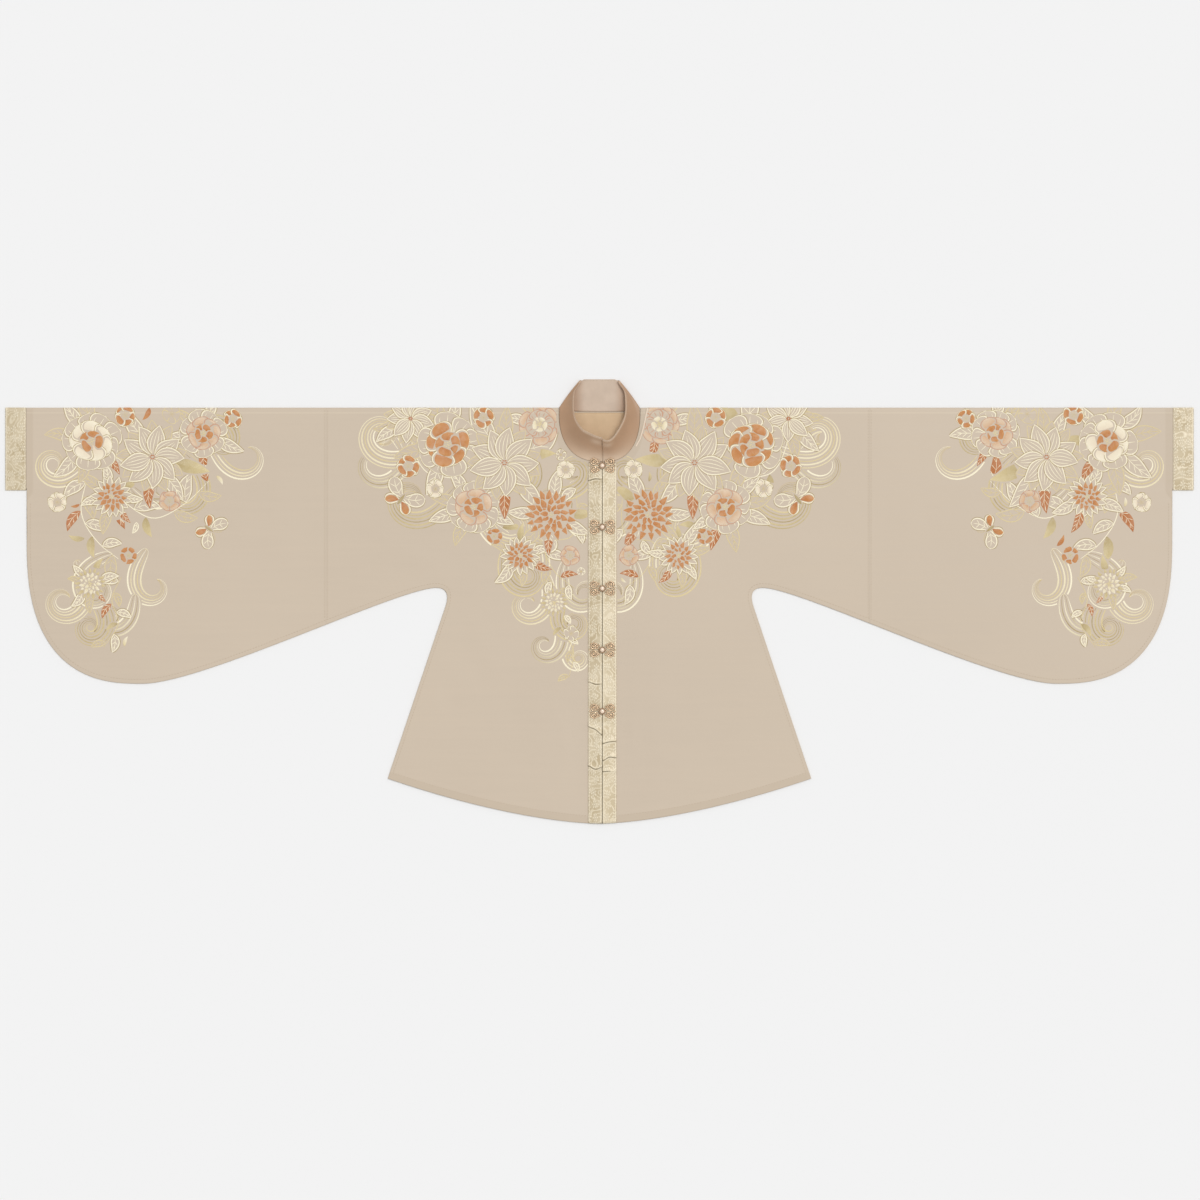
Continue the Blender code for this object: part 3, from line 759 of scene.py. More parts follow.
def stretch_rows(reach, folded, inner):
    """Shares along lines of these lengths: close rows at both ends, wide rows between."""
    fold = FOLD_R * (1.0 - np.cos(np.radians([0.0, 22.5, 45.0, 67.5, 90.0])))
    plain = np.array([0.0, 0.0008, 0.0020, 0.0040, 0.0080])
    near = fold[:, None] / reach
    far = 1.0 - np.where(folded, fold[::-1, None], plain[::-1, None]) / reach
    inside = np.linspace(0.0, 1.0, inner + 2)[1:-1, None]
    return np.concatenate([near, near[-1] + (far[0] - near[-1]) * inside, far])


def silk_layers(places, half, folded, open_rim, strength):
    """Middle places of the back and the front over the same places, as in the solids, with
    the creases on the front."""
    x, v = places[..., 0], places[..., 1]
    gap = edge_gap(x, v)
    gap[0] = 0.0
    closed = np.minimum(gap, np.maximum(v, 0.0))
    closed[-1, folded] = 0.0
    half_open = FOLD_R * np.sqrt(1.0 - np.clip(1.0 - closed / FOLD_R, 0.0, 1.0) ** 2)
    rise = front_rise(x, v, gap, half, strength) * np.clip(closed / FOLD_R, 0.0, 1.0)
    back = np.stack([x * half, v, FOLD_Z - half_open], axis=-1)
    front = np.stack([x * half, v, FOLD_Z + half_open + rise], axis=-1)
    return back, front, np.minimum(closed + HEM_DEEP, open_rim)


def body_places(side, edge_x, depth, inner):
    """Places on straight lines from the closed edge to the front edge, neckline and shoulder.

    The step t runs from the hem (0) round to the sleeve seam (32): side seam to 6, underarm to
    27 and lower sleeve to 32 outside; front edge to 10, neck to 23 and shoulder to 32 inside.
    """
    seam_x = SEAM_X[side]
    t = np.unique(np.concatenate([
        np.linspace(0, 32, 129), [0.015, 0.04, 0.08, 0.15],
        32.0 - np.array([0.008, 0.02, 0.04, 0.07, 0.12]),
    ]))
    sweep = sweep_curve()
    to_seam = sweep[sweep[:, 0] <= seam_x]
    to_seam = np.concatenate([to_seam, [[seam_x, np.interp(seam_x, sweep[:, 0], sweep[:, 1])]]])
    around = np.concatenate([underarm_curve(), to_seam[1:6]])
    outer = np.where((t <= 6)[:, None], read_along(np.array([SIDE_BOTTOM, SIDE_TOP]), np.clip(t / 6, 0, 1)),
                     read_along(around, np.clip((t - 6) / 21, 0, 1)))
    outer = np.where((t > 27)[:, None], read_along(to_seam[5:], np.clip((t - 27) / 5, 0, 1)), outer)
    turns = np.append(np.arange(12) / 12.0, [0.991, 1.0])
    neck = neckline(depth, edge_x, np.interp(t - 10, np.arange(14), turns))
    down = np.interp(t, [0, 6, 10], [hem(edge_x), FAN_TOP, depth])
    along = np.interp(t, [23, 27, 32], [NECK_HALF, SHOULDER_STEP, seam_x])
    inner_x = np.where(t < 10, edge_x, np.where(t < 23, neck[:, 0], along))
    inner_v = np.where(t < 10, down, np.where(t < 23, neck[:, 1], 0.0))
    last = np.stack([inner_x, inner_v], axis=1)
    reach = np.linalg.norm(last - outer, axis=1)
    folded = t >= 23
    share = stretch_rows(reach, folded, inner)
    places = outer + (last - outer) * share[..., None]
    bend = hem(places[:, :1, 0]) - places[:, :1, 1]
    places[..., 1] += bend * np.clip(1.0 - t / 6.0, 0.0, 1.0) ** 2
    rim = np.where(folded, 1.0, (1.0 - share) * reach)
    rim = np.minimum(rim, np.abs(hem(np.minimum(places[..., 0], HEM_HALF)) - places[..., 1]))
    return places, folded, np.maximum(rim, 0.0)


SHOULDER_STEP = 0.220       # where the lines from the underarm end on the shoulder fold
FAN_TOP = SIDE_TOP[1] + 0.008
BACK_LINES, FRONT_LINES = 14, 46    # inner rows of a layer between its closed edge and its top


def silk_shell(kind, side, under, over, silk):
    """The back of one pair of layers and the front of another, joined round the closed edge."""
    middle = np.concatenate([under[0][::-1], over[1][1:]])
    rims = np.concatenate([under[2][::-1], over[2][1:]])
    cloth(f"silk_{kind}_{side}", middle, SHELL, [silk], [f"{kind}_{side}"], rims)


def silk_body(side, look, silk):
    """One half: the back and the front joined round the closed edge."""
    half = SIDE[side]
    layers = []
    for edge_x, depth, inner in ((SEAM_GAP / 2, NECK_BACK, BACK_LINES),
                                 (half * FRONT_X + SEAM_GAP / 2, NECK_FRONT, FRONT_LINES)):
        places, folded, rim = body_places(side, edge_x, depth, inner)
        layers.append(silk_layers(places, half, folded, rim, look.relief))
    silk_shell("body", side, *layers, silk)


def silk_sleeve(side, look, silk):
    """The wide sleeve: lines from its rounded lower edge up to the shoulder fold."""
    seam_x = SEAM_X[side] + SEAM_SHUT
    sweep = sweep_curve()
    lower = np.concatenate([sweep, round_curve()])
    start = [[seam_x, np.interp(seam_x, *sweep.T)]]
    lower = np.concatenate([start, lower[lower[:, 0] > seam_x]])
    t = np.unique(np.concatenate([np.linspace(0, 1, 97), [0.0008, 0.002, 0.004, 0.008]]))
    outer = np.concatenate([read_along(lower, t), [[SLEEVE_END, CUFF_TALL]]])
    top = np.append(seam_x + (SLEEVE_END - MOUTH_STEP - seam_x) * t, SLEEVE_END)
    last = np.stack([top, np.zeros(len(top))], axis=1)
    reach = np.linalg.norm(last - outer, axis=1)
    folded = np.ones(len(top), dtype=bool)
    layers = []
    for inner in (BACK_LINES, FRONT_LINES):
        places = outer + (last - outer) * stretch_rows(reach, folded, inner)[..., None]
        rim = np.hypot(SLEEVE_END - places[..., 0], np.maximum(places[..., 1] - CUFF_TALL, 0.0))
        layers.append(silk_layers(places, SIDE[side], folded, rim, look.relief))
    silk_shell("sleeve", side, *layers, silk)


# Brocade: bands and cuffs

# Creases pressed across the front bands: places and heights as in the solids, then slant, bow,
# half width, and the shares across, from the front edge, between which it ends in a dark crack,
# a steep fall darkened with painted shade
CREASE_COLUMNS = "v rise slant bow half crack"
BAND_CREASES = {
    "left": table(
        CREASE_COLUMNS,
        (0.1250, 0.0010, 0.1, 0.04, 0.0045, (0.1, 1.1)), (0.4860, 0.0008, -0.15, -0.04, 0.0045, (0.1, 1.0)),
        (0.5680, 0.0012, -0.6, 0.05, 0.0055, (-0.3, 1.2)), (0.6350, 0.0010, -0.08, -0.08, 0.0050, (0.0, 1.4)),
        (0.5350, -0.0003, -0.3, 0.0, 0.0040, None), (0.6020, 0.0003, 0.4, 0.0, 0.0025, None),
        (0.6850, -0.0003, 0.2, 0.0, 0.0050, None)),
    "right": table(
        CREASE_COLUMNS,
        (0.5900, 0.0008, -0.13, 0.02, 0.0040, (-0.4, 1.1)), (0.6180, 0.0012, -0.2, 0.07, 0.0050, (-0.4, 1.2)),
        (0.6420, 0.0008, 0.05, 0.02, 0.0035, (-0.4, 0.6)), (0.5600, -0.0003, 0.3, 0.0, 0.0045, None),
        (0.6900, 0.0003, -0.4, 0.0, 0.0030, None), (0.1300, 0.0003, 0.1, 0.0, 0.0030, None)),
}
STEEP = 0.28                # share of its half width in which a cracked crease falls off below
CRACK_FINE = 0.0006         # added to the crack's distance at its fine ends
BAND_TURNED = 0.00035       # how far a band's edges are turned down
BAND_TURN = 0.0006          # over about this width
BAND_LINES = 160            # even rows from the neck seam to the hem
NEAR_CRACK = 0.014          # closer rows this far to both sides of a cracked crease
CLOSEST = 0.0003            # least distance between two rows
CUFF_PUCKER = 0.00016
CUFF_SWELL = 0.00035
CUFF_TURNED = 0.00040
CUFF_TURN = 0.0007
# Painted shade: OPEN_TRIM keeps the darkening of a crack away from edges that aren't one
OPEN_TRIM = 0.0008          # keeps the dark of a crack away from edges that aren't one


def band_height(side, v, across):
    """Upper skin of a band and distance to the nearest crack in it.

    A crease is rise e^(-(d/half)^2), falling off steeply below where it has a crack, and the
    edges are turned down.
    """
    height = np.full(np.broadcast(v, across).shape, BAND_SKIN)
    gap = np.ones(height.shape)
    for crease in BAND_CREASES[side]:
        line = crease["slant"] * (across - 0.5) + crease["bow"] * np.cos(2 * pi * across)
        off = v - crease["v"] - BAND_WIDE * line
        half = crease["half"]
        if crease["crack"]:
            start, end = crease["crack"]
            depth = np.sin(pi * np.clip((across - start) / (end - start), 0.0, 1.0)) ** 0.4
            half = half * np.where(off > 0, 1.0 - (1.0 - STEEP) * depth, 1.0)
            gap = np.minimum(gap, np.abs(off - STEEP * crease["half"]) + CRACK_FINE * (1.0 - depth))
        height += crease["rise"] * np.exp(-(off / half) ** 2)
    rim = np.minimum(across, 1.0 - across) * BAND_WIDE
    return height - BAND_TURNED * np.exp(-rim / BAND_TURN), gap


def band(side, brocade):
    """Front band: a strip from the neck seam to the hem."""
    half = SIDE[side]
    across = np.concatenate([[0.0, 0.02], np.linspace(0.05, 0.95, 29), [0.98, 1.0]])
    near = [crease["v"] + np.linspace(-NEAR_CRACK, NEAR_CRACK, 41)
            for crease in BAND_CREASES[side] if crease["crack"]]
    down = np.unique(np.concatenate([np.linspace(BAND_TOP, LENGTH, BAND_LINES), *near]))
    down = down[np.append(np.diff(down) > CLOSEST, True)][:, None]
    x = FRONT_X + half * (SEAM_GAP / 2 + BAND_WIDE * across)
    v = down + (hem(x) - LENGTH) * (down - BAND_TOP) / (LENGTH - BAND_TOP)
    z, gap = band_height(side, down, across[None])
    middle = np.stack(np.broadcast_arrays(x, v, z - BAND_WALL / 2), axis=-1)
    edge = np.minimum(across * BAND_WIDE, (1.0 - across) * BAND_WIDE + OPEN_TRIM)
    edge = np.minimum(edge, LENGTH - down + OPEN_TRIM)
    rim = np.minimum(edge, gap)
    return cloth("brocade_band_" + side, middle, BAND_WALL, [brocade], ["band_" + side], rim)


def cuff_lift(deep, v):
    """How far a cuff's front stands off its flat: puckers by the seam, a slow swell, edges turned in."""
    pucker = CUFF_PUCKER * np.sin(v / 0.0041 + 1.3 * np.sin(v / 0.017)) * (1.0 - 0.55 * deep)
    swell = CUFF_SWELL * np.sin(pi * np.clip(v / CUFF_TALL, 0, 1)) * np.sin(pi * deep)
    rim = np.minimum(deep, 1.0 - deep) * CUFF_DEEP
    return pucker + swell - CUFF_TURNED * np.exp(-rim / CUFF_TURN)


def cuff(side, brocade):
    """Flat tube at the sleeve mouth: a long round-ended loop, softly puckered towards its seam."""
    turn = np.linspace(0.0, pi, 13)
    down = np.linspace(FOLD_R, CUFF_TALL - FOLD_R, 74)[1:-1]
    low_end = CUFF_TALL - FOLD_R
    loop = np.concatenate([
        np.stack([FOLD_R - FOLD_R * np.sin(turn), FOLD_R * np.cos(turn)], axis=1),
        np.stack([down, np.full(len(down), -FOLD_R)], axis=1),
        np.stack([low_end + FOLD_R * np.sin(turn), -FOLD_R * np.cos(turn)], axis=1),
        np.stack([down[::-1], np.full(len(down), FOLD_R)], axis=1),
    ])
    deep = np.concatenate([[0.0, 0.02, 0.05], np.arange(1, 10) / 10, [0.95, 0.98, 1.0]])[:, None]
    x = SLEEVE_END + SEAM_GAP + (CUFF_DEEP - SEAM_GAP) * deep
    v = loop[None, :, 0]
    near_fold = np.clip(np.minimum(loop[:, 0], CUFF_TALL - loop[:, 0]) / 0.01, 0, 1)
    on_front = np.clip(loop[:, 1] / FOLD_R, 0.0, 1.0) * near_fold
    z = CUFF_WALL / 2 + FOLD_R + loop[None, :, 1] + on_front * cuff_lift(deep, v)
    middle = np.stack(np.broadcast_arrays(x * SIDE[side], v, z), axis=-1)
    rim = np.broadcast_to(np.minimum(deep, 1.0 - deep) * CUFF_DEEP + OPEN_TRIM, z.shape)
    name = "brocade_cuff_" + side
    return cloth(name, middle, CUFF_WALL, [brocade], ["cuff_" + side], rim, ring=True)


# Collar and lining

# Upper edge of the standing collar seen from above, as in the solids. turn runs from the front
# ends (0) to the neck point (1)
COLLAR_EDGE = {
    "right": table(
        "turn x v z",
        (0.00, 0.0052, 0.0570, 0.0285), (0.10, 0.0140, 0.0590, 0.0296), (0.24, 0.0240, 0.0530, 0.0290),
        (0.38, 0.0325, 0.0405, 0.0275), (0.50, 0.0400, 0.0265, 0.0255), (0.63, 0.0448, 0.0120, 0.0225),
        (0.78, 0.0456, -0.0100, 0.0165), (0.91, 0.0425, -0.0315, 0.0105), (1.00, 0.0322, -0.0460, 0.0069)),
    "left": table(
        "turn x v z",
        (0.00, -0.0048, 0.0545, 0.0290), (0.10, 0.0065, 0.0510, 0.0300), (0.24, 0.0180, 0.0455, 0.0295),
        (0.38, 0.0290, 0.0395, 0.0282), (0.50, 0.0380, 0.0280, 0.0258), (0.63, 0.0440, 0.0130, 0.0225),
        (0.78, 0.0452, -0.0100, 0.0165), (0.91, 0.0420, -0.0330, 0.0105), (1.00, 0.0322, -0.0460, 0.0069)),
}
BACK_CORNER = (0.0285, -0.0497)
FOLD_OUT = np.array([[0.76, -0.65], [0.95, -0.30]])    # way out of the fold at seam and edge
FOLD_SLIDE = np.array([-0.0010, -0.0025])
COLLAR_ROWS = 26
COLLAR_SWELL = 0.0012       # how far the side bellies out between seam and edge
# Painted highlight on the satin, low at the front, along the upper rim and high by the front ends:
# strength, middle and spread up the strip, the same in columns
PAINTED_SHEEN = table(
    "strength up high column wide",
    (0.90, 0.00, 0.360, 0.0, 24.0), (0.55, 0.97, 0.035, 0.0, np.inf), (0.45, 0.80, 0.100, 4.0, 5.0))
LINING_WALL = 0.0009
LINING_WAVE = 0.00025


def collar_half(side):
    """Middle places of one half: rows up from the seam, columns from the front end to the back."""
    half = SIDE[side]
    turns = np.append(np.linspace(0.0, 0.98, 50), 1.0)
    front_end = half * FRONT_X + SEAM_SHUT
    seam = moved_in(neckline(NECK_FRONT, front_end, turns), SEAM_GAP + 2 * COLLAR_FOLD * turns ** 8)
    seam = np.column_stack([seam, np.full(len(turns), COLLAR_WALL / 2 + 2 * COLLAR_FOLD)])
    seam[0, 0] = front_end
    seam[-1, 1] = COLLAR_FOLD
    rows = np.array([list(row.values()) for row in COLLAR_EDGE[side]])
    edge = smooth_through(rows[:, 0], rows[:, 1:], turns)
    edge[0, 0] = front_end
    up = np.linspace(0.0, 1.0, COLLAR_ROWS)[:, None]
    upper = seam[None] + (edge - seam)[None] * up[..., None]
    upper[..., 2] = seam[:, 2] + (edge - seam)[:, 2] * up ** (1.7 - 0.7 * turns)
    swell = COLLAR_SWELL * np.sin(pi * up) * turns ** 4
    upper[..., :2] += swell[..., None] * FOLD_OUT[0]
    fold = (upper[:, -1, 2] - COLLAR_WALL / 2) / 2
    arc = np.radians(np.linspace(0, 180, 15)[1:])
    out = FOLD_OUT[0] + (FOLD_OUT[1] - FOLD_OUT[0]) * up
    slide = FOLD_SLIDE * up
    rolled = np.empty((COLLAR_ROWS, len(arc), 3))
    for k in (0, 1):
        under = slide[:, k:k + 1] * (1.0 - np.cos(arc)) / 2
        rolled[..., k] = upper[:, -1:, k] + under + fold[:, None] * np.sin(arc) * out[:, k:k + 1]
    rolled[..., 2] = COLLAR_WALL / 2 + fold[:, None] * (1.0 + np.cos(arc))
    back = np.linspace(8 / 12, 0.0, 26)
    low = moved_in(neckline(NECK_BACK, 0.0, back), np.full(len(back), -SEAM_GAP))
    low[-1, 0] = 0.0
    high = np.column_stack([BACK_CORNER[0] * low[:, 0] / low[0, 0], np.full(len(low), -COLLAR_RISE)])
    high[0, 1] = BACK_CORNER[1]
    flat = np.empty((COLLAR_ROWS, len(back), 3))
    flat[..., :2] = low + (high - low) * up[..., None]
    flat[..., 2] = COLLAR_WALL / 2
    points = np.concatenate([upper, rolled, flat], axis=1)
    points[..., 0] *= half
    return points


def collar(outside, inside):
    """One strip round the neck: it rises from the front neckline and lies flat behind."""
    right, left = collar_half("right"), collar_half("left")
    middle = np.concatenate([right, left[:, -2::-1]], axis=1)
    up = np.linspace(0.0, 1.0, COLLAR_ROWS)[:, None]
    columns = np.minimum(np.arange(middle.shape[1]), np.arange(middle.shape[1])[::-1])
    # Painted highlight: how much paler the satin is at each place of the strip
    painted_sheen = sum(row["strength"] * np.exp(-((up - row["up"]) / row["high"]) ** 2)
               * np.exp(-((columns - row["column"]) / row["wide"]) ** 2) for row in PAINTED_SHEEN)
    painted_sheen = np.clip(painted_sheen, 0.0, 1.0)
    return cloth("satin_collar", middle, COLLAR_WALL, [inside, outside], ["collar"], painted_sheen,
                 attribute="painted_sheen")


def back_lining(material):
    """Lining inside the back neck: rows from its level upper edge down to its rounded lower edge."""
    t = np.linspace(0, pi, 61)
    x = LINING_HALF * np.cos(t)
    v = LINING_TOP + (LINING_DEEP - LINING_TOP) * np.sin(t) ** (2 / NECK_POWER)
    share = np.linspace(0.0, 1.0, 18)[:, None]
    middle = np.empty((len(share), len(t), 3))
    middle[..., 0] = x
    middle[..., 1] = LINING_TOP + (v - LINING_TOP) * share
    ease = np.sin(pi * share) * np.sin(t)
    middle[..., 2] = LINING_Z + LINING_WAVE * ease * np.sin(9.0 * t + 2.0 * share)
    return cloth("neck_lining", middle[:, 1:-1], LINING_WALL, [material], ["back_lining"])


# Ribbons of thread and wire

def tube_quads(rings, around):
    """Corner numbers of a closed tube: its side, then both ends as quads fanned from corner 0."""
    low = np.arange((rings - 1) * around).reshape(rings - 1, around)
    turned = np.roll(low, -1, axis=1)
    side = np.stack([low, turned, turned + around, low + around], axis=-1).reshape(-1, 4)
    k = np.arange(1, around - 1, 2)
    fan = np.stack([np.zeros_like(k), k, k + 1, k + 2], axis=-1)
    return np.concatenate([side, fan[:, ::-1], fan + (rings - 1) * around])


def wire(path, radius, around=6):
    """Tube round an open path of points: at each a ring square to the path, with the radius there."""
    way = np.gradient(path, axis=0)
    way /= np.linalg.norm(way, axis=1)[:, None]
    side = np.cross(UP, way)
    side /= np.linalg.norm(side, axis=1)[:, None]
    up = np.cross(way, side)
    turn = np.linspace(0.0, 2 * pi, around, endpoint=False)
    ring = side[:, None] * np.cos(turn)[:, None] + up[:, None] * np.sin(turn)[:, None]
    points = path[:, None] + ring * np.reshape(radius, (-1, 1, 1))
    return points.reshape(-1, 3), tube_quads(len(path), around)


def turned(profile, centre, steps=20):
    """A profile of (radius, height) turned round z about a centre; its first and last points lie
    near the axis and are closed by fanned quads."""
    turn = np.linspace(0.0, 2 * pi, steps, endpoint=False)
    r, h = np.array(profile).T[..., None]
    points = np.stack(np.broadcast_arrays(r * np.cos(turn), r * np.sin(turn), h), axis=-1)
    return points.reshape(-1, 3) + centre, tube_quads(len(r), steps)


def joined(parts):
    """Points and quads of several closed parts as one mesh's."""
    start = np.cumsum([0] + [len(points) for points, _ in parts[:-1]])
    return (np.concatenate([points for points, _ in parts]),
            np.concatenate([quads + s for (_, quads), s in zip(parts, start)]))


# Clasps

LOBE = 0.0150 + 0.0060j     # middle of a wing's round lobe
LOBE_R = 0.0061
RING = 0.0072 + 0.0074j     # middle of the small ring beside it
RING_R = 0.0021
# Painted shade: the darker foot below the wires
FOOT_DOWN, FOOT_GROW = 0.0003, 1.30     # the dark foot below the wing's middle, and its width
WIRE_UP, WIRE_GROW = 0.0004, 0.95


def wing_wires(look):
    """Openwork of one wing in its own plane, x outwards, y up: paths with their radius, and beads.

    Above and below the middle a round lobe winds in to a curl: middle + R (1 - 0.76 t^1.5) e^(i a),
    a falling by 3.5 pi. A small ring and a bent leaf fill the room between lobe and pearl.
    """
    t = np.linspace(0.0, 1.0, 64)
    lobe = LOBE + LOBE_R * (1.0 - 0.76 * t ** 1.5) * np.exp(1j * pi * (1.20 - 3.5 * t))
    ring = RING + RING_R * np.exp(1j * np.linspace(0.0, 2 * pi, 20))
    t = t[::6]
    leaf = 0.0054 + 0.0008j + t * (0.0090 + 0.0004j) + 0.0013j * np.sin(pi * t)
    tip = 0.0200 + 0.0040j * (t - 0.5) + 0.0028 * np.sin(pi * t)
    paths, beads = [], [(0.0226 + 0j, 0.0010)]
    for flip in (np.array, np.conj):
        paths += [(flip(lobe), look.wire * 1.1), (flip(ring), look.wire * 0.8), (flip(leaf), look.wire * 0.8)]
        beads += [(complex(flip(LOBE)), 0.0016), (complex(flip(RING)), 0.0010)]
        beads += [(complex(flip(LOBE + 0.0071 * np.exp(1j * a))), 0.0009) for a in (2.3, 1.5, 0.8, 0.1)]
    return paths + [(tip, look.wire * 0.8)], beads


def clasp_wing(number, side, look, metals):
    """One wing lying on its band: bright wire over a wider, darker foot that is painted shade."""
    low, high = box(f"clasp_{number}_{side}")
    v = CLASP_FIRST + (number - 1) * CLASP_STEP
    half = SIDE[side]
    middle = (low[2] + high[2]) / 2
    paths, beads = wing_wires(look)
    bright, dark = [], []
    for path, radius in paths:
        ends = np.minimum(np.arange(len(path)), np.arange(len(path))[::-1])
        radius = np.full(len(path), radius) * np.clip(ends / 2.0 + 0.55, 0.0, 1.0)
        plan = np.stack([FRONT_X + half * path.real, SHOULDER_Y - v + path.imag], axis=1)
        for parts, height, grow in ((bright, WIRE_UP, WIRE_GROW), (dark, -FOOT_DOWN, FOOT_GROW)):
            parts.append(wire(np.column_stack([plan, np.full(len(path), middle + height)]), radius * grow))
    turn = np.radians(np.linspace(-84, 84, 7))
    for spot, radius in beads:
        profile = np.stack([radius * np.cos(turn), radius * np.sin(turn)], axis=1)
        centre = np.array([FRONT_X + half * spot.real, SHOULDER_Y - v + spot.imag, middle + WIRE_UP])
        bright.append(turned(profile, centre, steps=10))
    points, quads = joined(bright + dark)
    name = f"clasp_wing_{number}_{side}"
    mesh = raw_mesh(name, points, quads)
    feet = sum(len(part) for _, part in dark)
    mesh.polygons.foreach_set("material_index", np.repeat([0, 1], [len(quads) - feet, feet]))
    add_piece(name, mesh, metals, [f"clasp_{number}_{side}"])


def clasp_button(number, metals, pearl):
    """A seat darkened as painted shade, with a ring of bright beads and a domed pearl in it, on the button's
    solid.
    """
    low, high = box(f"clasp_{number}_button")
    centre = np.array([FRONT_X, SHOULDER_Y - CLASP_FIRST - (number - 1) * CLASP_STEP, low[2]])
    tall = high[2] - low[2]
    ring_r = BUTTON_R - 0.0010
    seat = [(0.0004, 0.0), (ring_r, 0.0), (BUTTON_R, 0.0005), (BUTTON_R, 0.0012),
            (BUTTON_R - 0.0005, 0.0018), (ring_r, 0.0020), (ring_r - 0.0007, 0.0016),
            (ring_r - 0.0009, 0.0009), (0.0004, 0.0009)]
    parts = [turned(seat, centre, steps=28)]
    arc = np.radians(np.linspace(-84, 84, 5))
    profile = np.stack([0.00085 * np.cos(arc), 0.0020 + 0.0006 * np.sin(arc)], axis=1)
    for k in range(RING_BEADS):
        at = np.exp(2j * pi * k / RING_BEADS) * ring_r
        parts.append(turned(profile, centre + [at.real, at.imag, 0.0], steps=6))
    name = f"clasp_ring_{number}"
    mesh = raw_mesh(name, *joined(parts))
    faces = len(parts[0][1])
    mesh.polygons.foreach_set("material_index", np.repeat([1, 0], [faces, len(mesh.polygons) - faces]))
    add_piece(name, mesh, metals, [f"clasp_{number}_button"])
    dome = np.radians(np.linspace(-20, 88, 12))
    radius = ring_r - 0.0011
    profile = [(0.0003, 0.0010)] + [(radius * np.cos(d), tall * 0.42 + tall * 0.58 * np.sin(d)) for d in dome]
    name = f"clasp_pearl_{number}"
    add_piece(name, raw_mesh(name, *turned(profile, centre, steps=24)), [pearl])


# Embroidery

MAP_STEP = 0.001            # cells of the map of covered places
MAP_BACK = 0.10             # how far the map reaches down the back
FINE = 0.001                # spacing at which a line is tested against the map
BEND = 0.24                 # most turn in radians between two rings of a line
RING_GAP = 0.0080           # widest spacing of rings on a straight line
PAD_GAP = 0.0026            # the same on a filled leaf or petal
LINE = 0.00115              # half width of a main line
BACK_ROOM = 0.00033         # room for thread under the back
COVER_MARGIN = 0.0009
SCROLL_GAP = 0.0058         # between the middles of a scroll's lines
SHADED_LEAF = 0.0045        # half width from which a leaf or petal has a second, darker outline
FINEST = 0.00018            # least half width of a thread
FOLD_NEAR = 0.0035          # rings are close this far to both sides of the shoulder fold
PAD_RISE = 1.15             # a filling's height over a line's
SCROLL_PART = 8             # points of a scroll covered at once
SCROLL_COVERED = 80         # of its 90 points; its curl stays open for what is sewn later

# What a leaf or petal is sewn with: filling from base to tip, outline and veins
WAYS = {row["way"]: row for row in table(
    "way fill edge vein",
    ("cream_line", None, "cream", "cream"),
    ("cream_full", ("gold", "ivory"), None, None),
    ("cream_edge", ("blush", "ivory"), "cream", None),
    ("rust", ("rust", "amber"), None, None),
    ("rust_line", ("rust", "amber"), "cream", None),
    ("rust_vein", ("rust", "rust"), None, "cream"),
    ("blush", ("amber", "blush"), "rose", None),
    ("rose_line", None, "rose", "rose"),
    ("gold_line", None, "gold", "gold"),
    ("gold_full", ("old_gold", "gold"), None, None))}


def section(count):
    """Cross-section of a ribbon, places across from -1 to 1 and heights: a dome
    1.25 sqrt(1 - a^2) - 0.25 above and a flat base sunk in the cloth."""
    top = np.linspace(-1.0, 1.0, count + 1)
    across = np.concatenate([top, top[::-1][1:-1]])
    height = np.concatenate([1.25 * np.sqrt(1.0 - top ** 2) - 0.25, np.full(count - 1, -0.6)])
    return across, height


